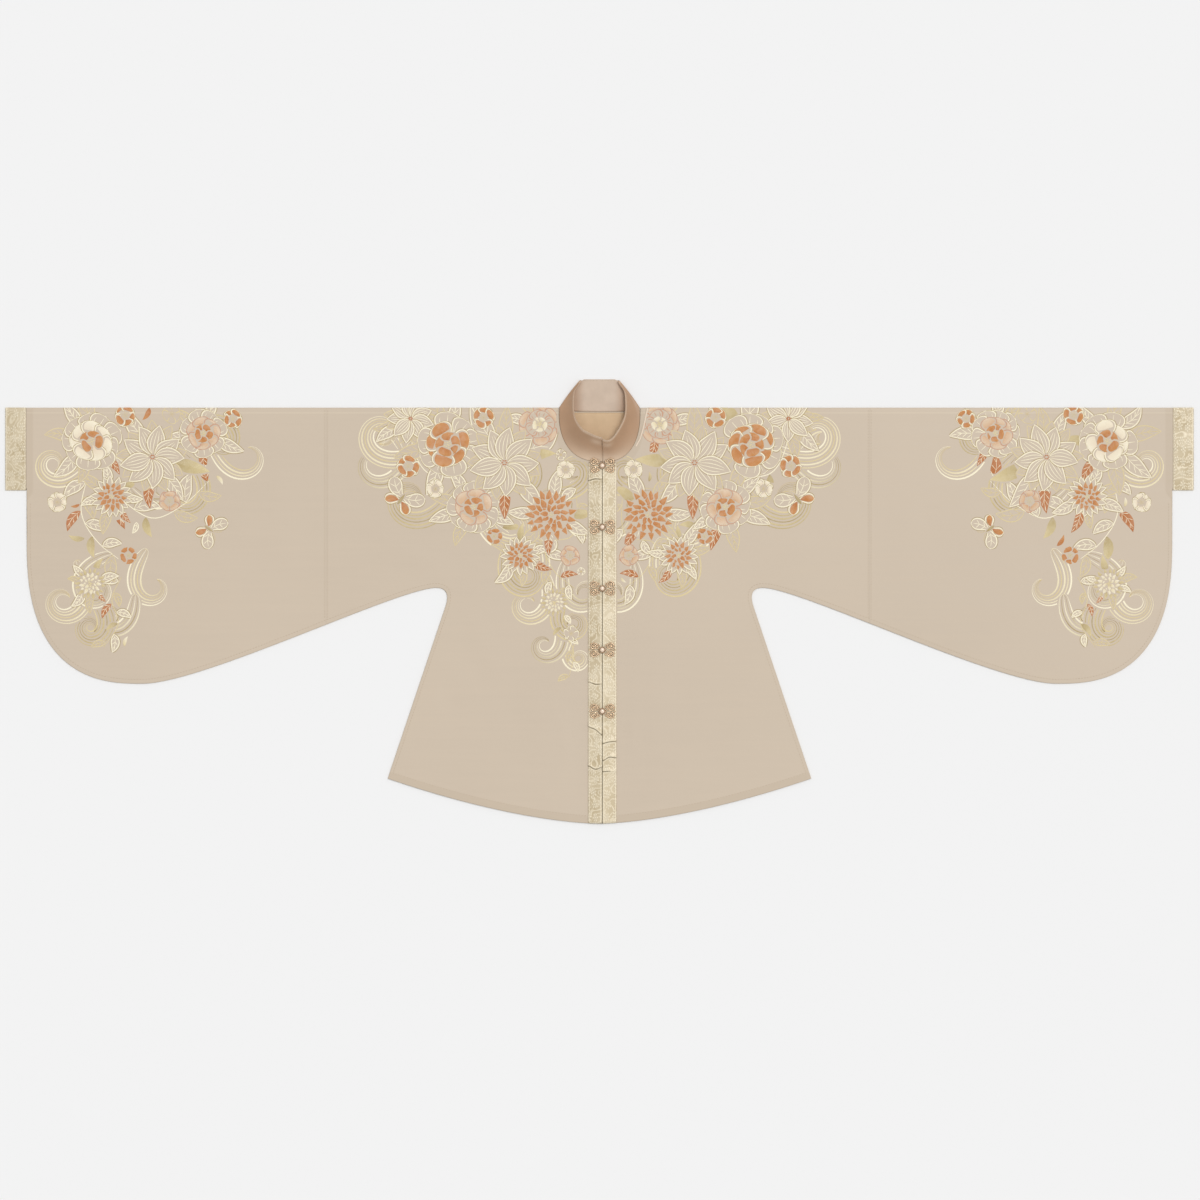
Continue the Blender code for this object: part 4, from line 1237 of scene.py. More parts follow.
class Needlework:
    """Embroidery of one piece. A shape keeps the places it covers, and whatever is sewn after
    it is cut off there, as if it passed behind."""

    def __init__(self, side, look, relief, seed):
        self.half = SIDE[side]
        self.look = look
        self.relief = relief
        self.random = np.random.default_rng(seed)
        self.taken = np.zeros((int(SPAN / 2 / MAP_STEP) + 2, int((LENGTH + MAP_BACK) / MAP_STEP) + 2), bool)
        self.parts, self.tones, self.strands = [], [], []

    def cells(self, places):
        i = np.clip(places.real / MAP_STEP, 0, self.taken.shape[0] - 1).astype(int)
        j = np.clip((places.imag + MAP_BACK) / MAP_STEP, 0, self.taken.shape[1] - 1).astype(int)
        return i, j

    def covered(self, places):
        return self.taken[self.cells(np.asarray(places))]

    def cover(self, outline):
        """Marks the cells inside a closed outline: those with an odd number of its sides to their right."""
        low = self.cells(np.array(outline.real.min() + 1j * outline.imag.min()))
        high = self.cells(np.array(outline.real.max() + 1j * outline.imag.max()))
        i = np.arange(low[0], high[0] + 1)
        j = np.arange(low[1], high[1] + 1)
        x = ((i + 0.5) * MAP_STEP)[:, None, None]
        s = ((j + 0.5) * MAP_STEP - MAP_BACK)[None, :, None]
        a, b = outline, np.roll(outline, -1)
        crossed = (a.imag > s) != (b.imag > s)
        rise = np.where(a.imag == b.imag, 1.0, b.imag - a.imag)
        right = x < a.real + (b.real - a.real) * (s - a.imag) / rise
        self.taken[low[0]:high[0] + 1, low[1]:high[1] + 1] |= np.sum(crossed & right, axis=2) % 2 == 1

    def tone(self, name):
        return np.array(getattr(self.look, name))

    def lay(self, path, half, first, last=None, wide=False, over=0.0):
        """Thread along a path (half width and tones along it), left out where something covers it."""
        run = run_along(path)
        if run[-1] < 2 * FINE:
            return
        at = np.linspace(0.0, run[-1], int(run[-1] / FINE) + 2)
        fine = np.interp(at, run, path.real) + 1j * np.interp(at, run, path.imag)
        square = square_to(fine)
        half = np.interp(at, run, np.broadcast_to(half, path.shape))
        half = np.stack([half, half], axis=1)
        if wide:
            half *= self.room(fine, square, half[:, 0])
        share = (at / run[-1])[:, None]
        tones = self.tone(first) * (1 - share) + self.tone(last or first) * share
        free = ~self.covered(fine)
        ends = np.flatnonzero(np.diff(np.concatenate([[0], free.astype(int), [0]]))).reshape(-1, 2)
        for start, end in ends:
            if end - start >= 4:
                part = slice(start, end)
                self.ribbon(fine[part], square[part], half[part], tones[part], wide, over)

    def room(self, path, square, half):
        """Share of the half width that lies free on each side of a path: up to the first covered place."""
        steps = np.linspace(0.0, 1.0, 14)[1:]
        shares = []
        for sign in (-1, 1):
            hidden = self.covered(path[:, None] + sign * square[:, None] * half[:, None] * steps)
            shares.append(np.where(hidden.any(axis=1), hidden.argmax(axis=1) / 13.0, 1.0))
        return np.stack(shares, axis=1)

    def ribbon(self, path, square, half, tones, wide, over):
        """A closed domed ribbon: rings close where the line bends or passes over the shoulder fold."""
        way = np.diff(path)
        turning = np.abs(np.angle(way[1:] / way[:-1])).sum()
        gap = PAD_GAP if wide else RING_GAP
        count = int(max(turning / BEND, len(path) * FINE / gap)) + 3
        keep = np.round(np.linspace(0, len(path) - 1, min(count, len(path)))).astype(int)
        at_fold = np.flatnonzero(np.abs(path.imag) < FOLD_NEAR)
        keep = np.unique(np.concatenate([keep, at_fold]))
        path, square, half, tones = path[keep], square[keep], half[keep], tones[keep]
        half = np.maximum(half, FINEST)
        over_fold = wide and (np.abs(path.imag) - half.max(axis=1)).min() < 0.002
        across, height = section(int(np.clip(half.max() / 0.0006, 3, 20)) if over_fold else 3 if wide else 2)
        reach = np.where(across < 0.0, half[:, :1], half[:, 1:]) * across
        places = path[:, None] + square[:, None] * reach
        height = height * self.look.rise * (PAD_RISE if wide else 1.0) + over * (height > -0.5)
        height = np.where(places.imag < 0.0, np.minimum(height, BACK_ROOM), height)
        points = skin(places.real, places.imag, height, self.half, self.relief)
        if self.half < 0:
            points = points[:, ::-1]
        self.parts.append((points.reshape(-1, 3), tube_quads(len(path), len(across))))
        self.tones.append(np.repeat(tones, len(across), axis=0))
        reach = reach[:, ::-1] if self.half < 0 else reach
        strands = np.stack(np.broadcast_arrays(run_along(path)[:, None], reach), axis=-1)
        self.strands.append(strands.reshape(-1, 2))

    def piece(self, name, slot, made):
        return thread_piece(name, slot, made, *joined(self.parts), np.concatenate(self.tones),
                            np.concatenate(self.strands))


def thread_piece(name, slot, made, points, quads, tones, strands):
    """Thread as one piece: a tone at each point, and its place along and across the strands as UV."""
    mesh = raw_mesh(name, points, quads)
    put_attribute(mesh, "thread", "FLOAT_COLOR", "color", np.column_stack([tones, np.ones(len(tones))]))
    layer = mesh.uv_layers.new(name="stitches")
    layer.uv.foreach_set("vector", strands[quads.ravel()].astype(np.float32).ravel())
    piece = add_piece(name, mesh, [made])
    mesh.set_sharp_from_angle(angle=np.radians(70.0))
    return piece


def leaf_width(t):
    """Pointed at both ends, widest before the middle: sin(pi t^0.8)^0.9."""
    return np.sin(pi * np.clip(t, 0, 1) ** 0.8) ** 0.9


def petal_width(t):
    """Narrow at the base, rounded at the tip: a rising sine to 0.62, then a quarter circle."""
    tip = np.sqrt(np.clip(1.0 - ((t - 0.62) / 0.38) ** 2, 0.0, 1.0))
    return np.where(t > 0.62, tip, 0.16 + 0.84 * np.sin(pi / 2 * np.clip(t / 0.62, 0, 1)))


def strand_width(t, half):
    """Half width of a line: full along its middle and fine at its ends."""
    return half * (0.35 + 0.65 * np.sin(pi * np.clip(t, 0.04, 0.96)) ** 0.5)


def brush_width(t, half):
    """Half width of a scroll line: fine at first, swelling past its middle and drawn out again."""
    return half * (0.30 + 1.05 * np.sin(pi * np.clip(t, 0.02, 0.98) ** 0.75) ** 2)


def spot_on(line, share):
    """Points at these shares along a line sampled evenly."""
    t = np.linspace(0.0, 1.0, len(line))
    return np.interp(share, t, line.real) + 1j * np.interp(share, t, line.imag)


def feather_ribs(spine, left, right, count):
    """The midrib, and side veins from it forward to three quarters of the way to either edge."""
    ribs = [spine[2:-3]]
    for k in range(count):
        start = (k + 0.6) / (count + 1.0)
        root = spot_on(spine, start)
        for rim in (left, right):
            ribs.append(root + (spot_on(rim, start + 0.22) - root) * np.linspace(0.05, 0.78, 6))
    return ribs


def fan_ribs(spine, left, right, count):
    """Lines that run from the base of a petal towards its tip, spread over its width."""
    share = np.linspace(0.06, 0.86, 14)
    ribs = []
    for spread in np.linspace(-0.62, 0.62, count):
        rim = left if spread > 0 else right
        end = 0.86 - 0.25 * abs(spread)
        at = share * end / 0.86
        ribs.append(spot_on(spine, at) + (spot_on(rim, at) - spot_on(spine, at)) * abs(spread))
    return ribs


def blade(work, base, reach, wide, way, bend=0.0, profile=leaf_width, veins=3, line=LINE, ribs=feather_ribs):
    """A leaf or petal: spine base + reach (t + i bend sin(pi t)), half width wide * profile(t)."""
    t = np.linspace(0.0, 1.0, 26)
    spine = base + reach * (t + 1j * bend * np.sin(pi * t))
    if np.mean(work.covered(spine)) > 0.7:
        return
    square = square_to(spine)
    half = wide * profile(t)
    left, right = spine + square * half, spine - square * half
    sewn = WAYS[way]
    if sewn["fill"]:
        inset = 1.2 * line if sewn["edge"] else 0.0
        work.lay(spine, np.maximum(half - inset, 0.0002), *sewn["fill"], wide=True)
    if sewn["edge"]:
        for side, sign in ((left, 1), (right, -1)):
            work.lay(side, strand_width(t, line), sewn["edge"])
            # Painted shadow: a broad leaf's cream outline gets a thin old-gold line beside it
            if sewn["edge"] == "cream" and wide > SHADED_LEAF:
                work.lay(side + sign * square * 1.9 * line, 0.5 * line, "old_gold")
    if sewn["vein"] and veins:
        over = 0.00020 if sewn["fill"] else 0.0
        for rib in ribs(spine, left, right, veins):
            work.lay(rib, strand_width(np.linspace(0, 1, len(rib)), 0.62 * line), sewn["vein"], over=over)
    margin = square * (half + COVER_MARGIN)
    work.cover(np.concatenate([spine + margin, (spine - margin)[::-1]]))


def dot(work, place, half, tone):
    """A short raised knot."""
    work.lay(place + np.array([-1.2, -0.4, 0.4, 1.2]) * half, half * np.array([0.5, 1.0, 1.0, 0.5]), tone)


def flower(work, centre, size, turn, rings, profile=petal_width, line=LINE, veins=3):
    """Rings of petals from the heart outwards: (count, start, end, share of the room, way)."""
    for number, (count, start, end, share, way) in enumerate(rings):
        for k in range(count):
            jitter = work.random.uniform(-1, 1, 3)
            angle = turn + number * 0.37 + (k + 0.16 * jitter[0]) * 2 * pi / count
            reach = size * (end - start) * (1 + 0.07 * jitter[1]) * np.exp(1j * angle)
            wide = size * end * pi / count * share
            blade(work, centre + size * start * np.exp(1j * angle), reach, wide, way,
                  bend=0.07 * jitter[2], profile=profile, veins=veins, line=line, ribs=fan_ribs)


def peony(work, centre, size, turn, way):
    """Full flower: knotted heart, a few inner petals, then two rings of broad ones."""
    inner, middle, outer = PEONY[way]
    for k in range(9):
        dot(work, centre + 0.085 * size * np.sqrt(k) / 2 * np.exp(2.4j * k), 0.0013, "gold")
    work.cover(centre + 0.13 * size * circle(16))
    flower(work, centre, size, turn, [
        (5, 0.05, 0.38, 1.05, inner), (7, 0.14, 0.70, 1.12, middle), (9, 0.34, 1.00, 1.15, outer)])


PEONY = {
    "blush": ("rust", "blush", "cream_line"),
    "cream": ("cream_edge", "cream_line", "cream_line"),
    "rust": ("rust", "rust_line", "cream_line"),
    "ember": ("rust", "cream_edge", "cream_line"),
    "rose": ("cream_full", "rose_line", "blush"),
}


def chrysanthemum(work, centre, size, turn, way):
    """Many narrow petals in rings round a small heart."""
    inner, outer = CHRYSANTHEMUM[way]
    for k in range(7):
        dot(work, centre + 0.05 * size * np.sqrt(k) * np.exp(2.4j * k), 0.0012, "gold")
    work.cover(centre + 0.12 * size * circle(12))
    flower(work, centre, size, turn, [
        (9, 0.08, 0.42, 0.80, inner), (13, 0.20, 0.72, 0.80, inner), (17, 0.36, 1.00, 0.78, outer)],
        profile=leaf_width, line=0.0010, veins=1)


CHRYSANTHEMUM = {
    "rust": ("rust", "rust"),
    "cream": ("cream_full", "cream_line"),
    "mixed": ("rust", "cream_line"),
    "gold": ("cream_full", "gold_full"),
}


def plum(work, centre, size, turn, way):
    """Five round petals and a burst of stamens."""
    for k in range(7):
        spoke = np.exp(1j * (turn + k * 2 * pi / 7))
        work.lay(centre + size * spoke * np.linspace(0.05, 0.36, 4), 0.00045, "gold")
        dot(work, centre + size * spoke * 0.42, 0.0007, "gold")
    work.cover(centre + 0.46 * size * circle(12))
    flower(work, centre, size, turn, [(5, 0.22, 1.00, 1.0, way)], line=0.0010, veins=0)


def starflower(work, centre, size, turn, way):
    """Long pointed petals with lines along them, in two rings."""
    for k in range(6):
        dot(work, centre + 0.06 * size * np.exp(1j * k * pi / 3), 0.0014, "rust")
    work.cover(centre + 0.10 * size * circle(12))
    flower(work, centre, size, turn, [(9, 0.08, 1.00, 0.74, way), (9, 0.40, 1.10, 0.50, "gold_line")],
           profile=leaf_width, veins=4)


def butterfly(work, centre, size, turn, way):
    """Two broad and two small wings, a body and bent feelers."""
    heading = np.exp(1j * turn)
    body = centre + size * heading * np.linspace(-0.30, 0.26, 10)
    work.lay(body, size * 0.085 * np.sin(pi * np.linspace(0.12, 0.95, 10)), "old_gold", wide=True)
    work.cover(np.concatenate([body + 0.09j * size * heading, (body - 0.09j * size * heading)[::-1]]))
    fore, hind = way
    for sign in (-1, 1):
        t = np.linspace(0, 1, 14)
        feeler = centre + size * heading * (0.26 + 0.40 * t + 1j * sign * (0.05 + 0.26 * t ** 2))
        work.lay(feeler, 0.0005, "gold")
        root = centre + size * heading * (0.10 + 0.06j * sign)
        blade(work, root, size * heading * np.exp(0.98j * sign) * 0.98, size * 0.30, fore,
              bend=0.10 * sign, profile=petal_width, veins=2)
        root = centre + size * heading * (-0.10 + 0.06j * sign)
        blade(work, root, size * heading * np.exp(2.15j * sign) * 0.66, size * 0.22, hind,
              bend=-0.08 * sign, profile=petal_width, veins=2)


def leaves_round(work, centre, size, turn, count, way, spread=2 * pi):
    """Leaves behind a flower, pointing away from it."""
    for k in range(count):
        jitter = work.random.uniform(-1, 1, 3)
        angle = turn + spread * (k + 0.3 * jitter[0]) / count
        way_out = np.exp(1j * angle)
        reach = size * (1.10 + 0.25 * jitter[1])
        blade(work, centre + size * 0.62 * way_out, reach * way_out * np.exp(0.25j * jitter[2]),
              reach * 0.20, way[k % len(way)], bend=0.16 * jitter[2], veins=5)


def curl_path(turns, count=90):
    """Euler curl of unit length: its heading turns by 2 pi turns u^2.1, tighter and tighter."""
    u = np.linspace(0.0, 1.0, count)
    heading = np.exp(2j * pi * turns * u ** 2.1)
    path = np.concatenate([[0.0], np.cumsum(0.5 * (heading[1:] + heading[:-1]))]) / (count - 1)
    return u, path


def scroll(work, start, size, turn, way, lines=4, turns=1.5, flip=1):
    """Water-like scroll: lines side by side along one curl, drawn together at both ends."""
    u, path = curl_path(turns)
    if flip < 0:
        path = np.conj(path)
    path = start + size * np.exp(1j * turn) * path
    square = square_to(path)
    spread = SCROLL_GAP * np.minimum(np.sin(pi * u ** 0.6) ** 0.6, 1.15 * (1.0 - u) ** 0.45 + 0.12)
    for k in range(lines):
        offset = (k - (lines - 1) / 2) * spread
        half = LINE * (1.15 if k % 2 == 0 else 0.80)
        work.lay(path + square * offset, brush_width(u, half), way[k % 2], way[k % 2 - 1] if k % 3 else None)
    side = (lines / 2) * spread + COVER_MARGIN
    left, right = path + square * side, path - square * side
    for start in range(0, SCROLL_COVERED, SCROLL_PART):
        part = slice(start, start + SCROLL_PART + 1)
        work.cover(np.concatenate([left[part], right[part][::-1]]))


def vine(work, points, tone, leaf, spacing, ways, half=0.0010):
    """A stem through the points (smooth, slopes shared between them) with leaves by turns."""
    knots = np.array(points)
    at = run_along(knots)
    want = np.linspace(0.0, at[-1], int(at[-1] / 0.004))
    path = smooth_through(at, knots, want)
    work.lay(path, strand_width(want / at[-1], half), tone)
    heading = np.gradient(path)
    heading /= np.abs(heading)
    for number, place in enumerate(np.arange(spacing / 2, at[-1], spacing)):
        spot = np.interp(place, want, np.arange(len(want))).astype(int)
        sign = 1 if number % 2 else -1
        jitter = work.random.uniform(-1, 1, 2)
        out = heading[spot] * np.exp(1j * sign * (0.75 + 0.25 * jitter[0]))
        size = leaf * (1 + 0.25 * jitter[1])
        blade(work, path[spot] + 0.002 * out, size * out, size * 0.22, ways[number % len(ways)],
              bend=0.12 * sign, veins=3)


# Own layout of one half of the chest and one sleeve, front motifs first: middle (x, s), size, turn
CHEST_FLOWERS = table(
    "kind x s size turn way",
    (starflower, 0.168, 0.098, 0.062, 0.3, "cream_line"),
    (peony, 0.268, 0.066, 0.056, 1.1, "rust"),
    (chrysanthemum, 0.086, 0.190, 0.045, 0.0, "rust"),
    (peony, 0.222, 0.176, 0.046, 0.5, "blush"),
    (starflower, 0.334, 0.020, 0.042, 0.8, "cream_line"),
    (chrysanthemum, 0.140, 0.262, 0.034, 0.8, "mixed"),
    (peony, 0.106, 0.030, 0.036, 0.2, "rose"),
    (plum, 0.205, 0.018, 0.018, 0.9, "rust_line"),
    (plum, 0.338, 0.104, 0.019, 0.5, "rust_line"),
    (plum, 0.060, 0.110, 0.015, 0.1, "cream_edge"),
    (plum, 0.052, 0.262, 0.017, 0.7, "blush"),
    (plum, 0.186, 0.228, 0.014, 0.6, "rust"),
    (plum, 0.290, 0.144, 0.015, 0.3, "cream_edge"))
CHEST_SCROLLS = table(
    "x s size turn flip lines turns",
    (0.300, 0.070, 0.250, 0.5, -1, 6, 1.15), (0.250, 0.140, 0.240, 1.0, -1, 6, 1.00),
    (0.330, 0.060, 0.190, 1.3, -1, 5, 0.80), (0.215, 0.160, 0.230, 1.75, 1, 6, 1.10),
    (0.150, 0.230, 0.210, 1.15, 1, 6, 1.20), (0.060, 0.270, 0.190, 1.35, 1, 5, 1.10),
    (0.110, 0.230, 0.180, 1.9, -1, 5, 0.90), (0.100, 0.150, 0.190, 3.0, 1, 5, 1.15),
    (0.190, 0.040, 0.190, 2.7, -1, 5, 1.10), (0.345, 0.080, 0.160, -1.2, 1, 5, 1.10),
    (0.130, 0.075, 0.150, 2.2, -1, 4, 1.10), (0.045, 0.130, 0.170, 1.2, 1, 4, 0.70))
CHEST_VINES = table(
    "way leaf spacing points",
    ("cream", 0.036, 0.024, [
        (0.345, 0.020), (0.300, 0.118), (0.252, 0.128), (0.200, 0.192), (0.160, 0.222)]),
    ("gold", 0.030, 0.022, [
        (0.040, 0.135), (0.052, 0.230), (0.096, 0.240), (0.080, 0.290), (0.044, 0.320)]))
TAIL_FLOWERS = table(
    "kind x s size turn way",
    (chrysanthemum, 0.080, 0.345, 0.024, 0.4, "gold"),
    (plum, 0.050, 0.400, 0.013, 0.2, "cream_line"))
TAIL_SCROLLS = table(
    "x s size turn flip lines turns",
    (0.100, 0.285, 0.190, 1.9, -1, 5, 1.00), (0.050, 0.320, 0.180, 0.9, 1, 5, 1.15),
    (0.075, 0.370, 0.150, 1.9, -1, 5, 0.95), (0.040, 0.400, 0.130, 0.9, 1, 4, 1.20))
TAIL_VINES = table(
    "way leaf spacing points",
    ("gold", 0.022, 0.022, [
        (0.090, 0.300), (0.062, 0.350), (0.066, 0.390), (0.046, 0.430), (0.054, 0.478)]))
SLEEVE_FLOWERS = table(
    "kind x s size turn way",
    (starflower, 0.790, 0.088, 0.058, 0.2, "cream_line"),
    (peony, 0.898, 0.060, 0.052, 0.6, "ember"),
    (peony, 0.700, 0.046, 0.042, 0.1, "blush"),
    (chrysanthemum, 0.862, 0.158, 0.036, 0.3, "mixed"),
    (plum, 0.838, 0.014, 0.018, 0.5, "rust_line"),
    (plum, 0.756, 0.012, 0.016, 0.1, "gold_line"),
    (plum, 0.760, 0.166, 0.018, 0.8, "blush"),
    (plum, 0.958, 0.168, 0.016, 0.4, "cream_edge"),
    (plum, 0.648, 0.020, 0.016, 0.2, "rust_line"),
    (chrysanthemum, 0.900, 0.312, 0.028, 0.7, "gold"),
    (plum, 0.832, 0.262, 0.015, 0.3, "rust"))
SLEEVE_SCROLLS = table(
    "x s size turn flip lines turns",
    (0.900, 0.090, 0.190, 0.9, -1, 5, 1.10), (0.740, 0.080, 0.210, 2.4, -1, 5, 1.05),
    (0.860, 0.260, 0.200, 0.4, 1, 6, 1.15), (0.925, 0.270, 0.210, 2.0, -1, 6, 1.00),
    (0.900, 0.330, 0.180, 2.3, -1, 6, 1.25), (0.820, 0.330, 0.170, 1.5, -1, 5, 1.10),
    (0.800, 0.250, 0.170, 1.0, 1, 5, 0.80), (0.720, 0.030, 0.170, -2.9, -1, 5, 1.10),
    (0.830, 0.140, 0.160, 2.3, 1, 4, 1.10), (0.690, 0.060, 0.170, 2.0, 1, 4, 0.70))
SLEEVE_VINES = table(
    "way leaf spacing points",
    ("cream", 0.046, 0.026, [
        (0.880, 0.110), (0.830, 0.175), (0.790, 0.196), (0.735, 0.172), (0.690, 0.130)]),
    ("cream", 0.040, 0.025, [
        (0.905, 0.120), (0.915, 0.190), (0.880, 0.245), (0.850, 0.268)]),
    ("gold", 0.026, 0.020, [
        (0.845, 0.300), (0.862, 0.340), (0.850, 0.380), (0.876, 0.424)]))
LEAF_WAYS = ["cream_line", "gold_line", "rust_vein", "cream_line", "gold_full", "cream_line", "gold_line"]
FILL_WAYS = ["cream_full", "gold_full", "cream_line", "rust"]
SCROLL_WAYS = [("cream", "gold"), ("gold", "old_gold"), ("cream", "old_gold")]


def sew_table(work, flowers, vines, scrolls):
    """Flowers first, then the leaves behind them, stems, and the scrolls behind all."""
    for row in flowers:
        row["kind"](work, row["x"] + 1j * row["s"], row["size"], row["turn"], row["way"])
    for row in flowers:
        if row["size"] > 0.025:
            count = 9 if row["size"] > 0.045 else 7
            leaves_round(work, row["x"] + 1j * row["s"], row["size"], row["turn"], count, LEAF_WAYS)
    for row in vines:
        vine(work, [x + 1j * s for x, s in row["points"]], row["way"], row["leaf"], row["spacing"], LEAF_WAYS)
    for number, row in enumerate(scrolls):
        scroll(work, row["x"] + 1j * row["s"], row["size"], row["turn"], SCROLL_WAYS[number % 3],
               row["lines"], row["turns"], row["flip"])


def sew_fill(work, inside, low, high, tries, size):
    """Small leaves and blossoms dropped into the open places between the motifs."""
    for number in range(tries):
        spot = complex(work.random.uniform(low.real, high.real), work.random.uniform(low.imag, high.imag))
        angle, share = work.random.uniform(0, 2 * pi), work.random.uniform(0.7, 1.3)
        reach = size * share
        near = spot + reach * 0.55 * circle(8)
        if not inside(spot) or work.covered(np.append(near, spot)).any():
            continue
        if number % 5 == 0:
            plum(work, spot, reach * 0.52, angle, FILL_WAYS[number % 4])
        else:
            out = np.exp(1j * angle)
            base = spot - 0.5 * reach * out
            blade(work, base, reach * out, reach * 0.20, FILL_WAYS[number % 4], bend=0.12, veins=2)


def mask_neck(work):
    """Keeps the collar, the front band and its clasps free of embroidery."""
    turns = np.linspace(0, 1, 40)
    neck = neckline(NECK_FRONT, 0.0, turns) @ np.array([1, 1j])
    out = neck + 0.004 * np.exp(1j * (pi / 2 - turns * pi / 2))
    work.cover(np.concatenate([[-0.01 - 0.02j], [0.0 + 0.10j], out, [NECK_HALF + 0.004 - 0.02j]]))
    band_end = FRONT_X * work.half + BAND_WIDE + 0.0015
    work.cover(np.array([-0.01 - 0.09j, band_end - 0.09j, band_end + 0.72j, -0.01 + 0.72j]))


def inside_chest(spot):
    """The V of the chest: out to 0.375 at the shoulder, drawing in towards the front edge."""
    return 0.0 < spot.imag < 0.33 and spot.real < 0.375 - 0.92 * max(spot.imag - 0.03, 0.0)


def inside_sleeve(spot):
    """The sleeve end: a broad panel at the shoulder that narrows below."""
    upper = 0.0 < spot.imag < 0.20 and 0.62 + 0.35 * spot.imag < spot.real < 0.955
    return upper or (0.20 <= spot.imag < 0.42 and abs(spot.real - 0.868) < 0.062 - 0.12 * (spot.imag - 0.20))


# Cord beside the neck edge of the right half, from the shoulder down
PIPING = np.array([0.0852 + 0.0020j, 0.0825 + 0.0140j, 0.0795 + 0.0280j,
                   0.0762 + 0.0420j, 0.0716 + 0.0566j, 0.0645 + 0.0690j])


def sew_chest(side, look, relief):
    work = Needlework(side, look, relief, seed=11 if side == "left" else 12)
    mask_neck(work)
    flowers, vines, scrolls = CHEST_FLOWERS, CHEST_VINES, CHEST_SCROLLS
    if side == "left":
        flowers, vines, scrolls = flowers + TAIL_FLOWERS, vines + TAIL_VINES, scrolls + TAIL_SCROLLS
    if side == "right":
        work.lay(PIPING, 0.0010, "piping")
        # Painted shadow: a thin line of darker thread beside the cord
        work.lay(PIPING - 0.0024, 0.0007, "tack")
        work.cover(np.concatenate([PIPING + 0.0018, [0.05 + 0.06j, 0.06 + 0.0j]]))
    butterfly(work, 0.350 + 0.162j, 0.038, -2.2, ("cream_line", "rust_line"))
    sew_table(work, flowers, vines, scrolls)
    sew_fill(work, inside_chest, 0.03 + 0.0j, 0.37 + 0.33j, 900, 0.017)
    return work


def sew_sleeve(side, look, relief):
    work = Needlework(side, look, relief, seed=21 if side == "left" else 22)
    butterfly(work, 0.690 + 0.215j, 0.032, 2.5, ("cream_line", "rust_line"))
    sew_table(work, SLEEVE_FLOWERS, SLEEVE_VINES, SLEEVE_SCROLLS)
    sew_fill(work, inside_sleeve, 0.61 + 0.0j, 0.97 + 0.42j, 600, 0.022)
    return work


# Running stitches

STITCH_HALF = 0.00042
STITCH_SHARES = np.array([0.0, 0.22, 0.78, 1.0])
STITCH_SWELL = np.array([0.35, 1.0, 1.0, 0.35])
HEM_STITCH = 0.012          # of the hem's stitches above its edge
EDGE_STITCH = 0.006
SEAM_STITCH = 0.0026
TRIM_STITCH = 0.0024
COLLAR_STITCH_ROW = 24


def running_stitches(lines, look):
    """Raised dashes along lines of places on the cloth, each line with its way off the cloth."""
    parts, tones, strands = [], [], []
    for path, up in lines:
        up = np.broadcast_to(up, path.shape)
        run = run_along(path)
        first = np.arange(look.stitch_gap / 2, run[-1] - look.stitch, look.stitch + look.stitch_gap)
        at = first[:, None] + look.stitch * STITCH_SHARES
        spot, lift = (np.stack([np.interp(at, run, c) for c in values.T], axis=-1) for values in (path, up))
        way = spot[:, -1:] - spot[:, :1]
        side = np.cross(lift, way)
        side *= (STITCH_HALF * STITCH_SWELL / np.linalg.norm(side, axis=2))[..., None]
        lift = lift * (look.rise * STITCH_SWELL)[:, None]
        ring = np.stack([side, lift, -side, -0.5 * lift], axis=2)
        points = (spot[:, :, None] + ring).reshape(-1, 3)
        quads = tube_quads(4, 4)[None] + 16 * np.arange(len(first))[:, None, None]
        parts.append((points, quads.reshape(-1, 4)))
        tones.append(np.broadcast_to(look.tack, points.shape))
        across = STITCH_HALF * np.array([1.0, 0.0, -1.0, 0.0])
        strands.append(np.stack(np.broadcast_arrays(at[:, :, None], across), axis=-1).reshape(-1, 2))
    return *joined(parts), np.concatenate(tones), np.concatenate(strands)


def on_silk(places, side, relief):
    """A line of places x + i s laid on the outer skin of the cloth, as world points."""
    return skin(places.real, places.imag, 0.0, SIDE[side], relief), UP


def silk_lines(side, relief):
    """Stitches along the hem, round the closed edge and beside the sleeve seam."""
    x = np.linspace(FRONT_X * SIDE[side] + BAND_WIDE + 0.003, HEM_HALF - 0.008, 160)
    edge = EDGE @ np.array([1.0, 1j])
    inward = np.gradient(edge)
    edge = (edge - 1j * EDGE_STITCH * inward / np.abs(inward))[8:-14]
    sweep = sweep_curve()
    seam = SEAM_X[side]
    down = np.linspace(0.004, np.interp(seam, *sweep.T) - 0.008, 160)
    lines = [x + 1j * (hem(x) - HEM_STITCH), edge]
    lines += [seam + aside + 1j * down for aside in (-SEAM_STITCH, SEAM_STITCH)]
    return [on_silk(line, side, relief) for line in lines]


def trim_lines(side):
    """Stitches along the outer edge of a band and by the seam of a cuff."""
    v = np.linspace(BAND_TOP + 0.006, LENGTH - 0.004, 400)
    across = 1.0 - TRIM_STITCH / BAND_WIDE
    x = FRONT_X + SIDE[side] * BAND_WIDE * across
    low = v + (hem(x) - LENGTH) * (v - BAND_TOP) / (LENGTH - BAND_TOP)
    band_line = np.stack([np.full(len(v), x), SHOULDER_Y - low, band_height(side, v, across)[0]], axis=1)
    v = np.linspace(0.006, CUFF_TALL - 0.006, 120)
    deep = TRIM_STITCH / CUFF_DEEP
    z = CUFF_WALL + 2 * FOLD_R + cuff_lift(deep, v)
    x = SIDE[side] * (SLEEVE_END + SEAM_GAP + TRIM_STITCH)
    cuff_line = np.stack([np.full(len(v), x), SHOULDER_Y - v, z], axis=1)
    return [(band_line, UP), (cuff_line, UP)]


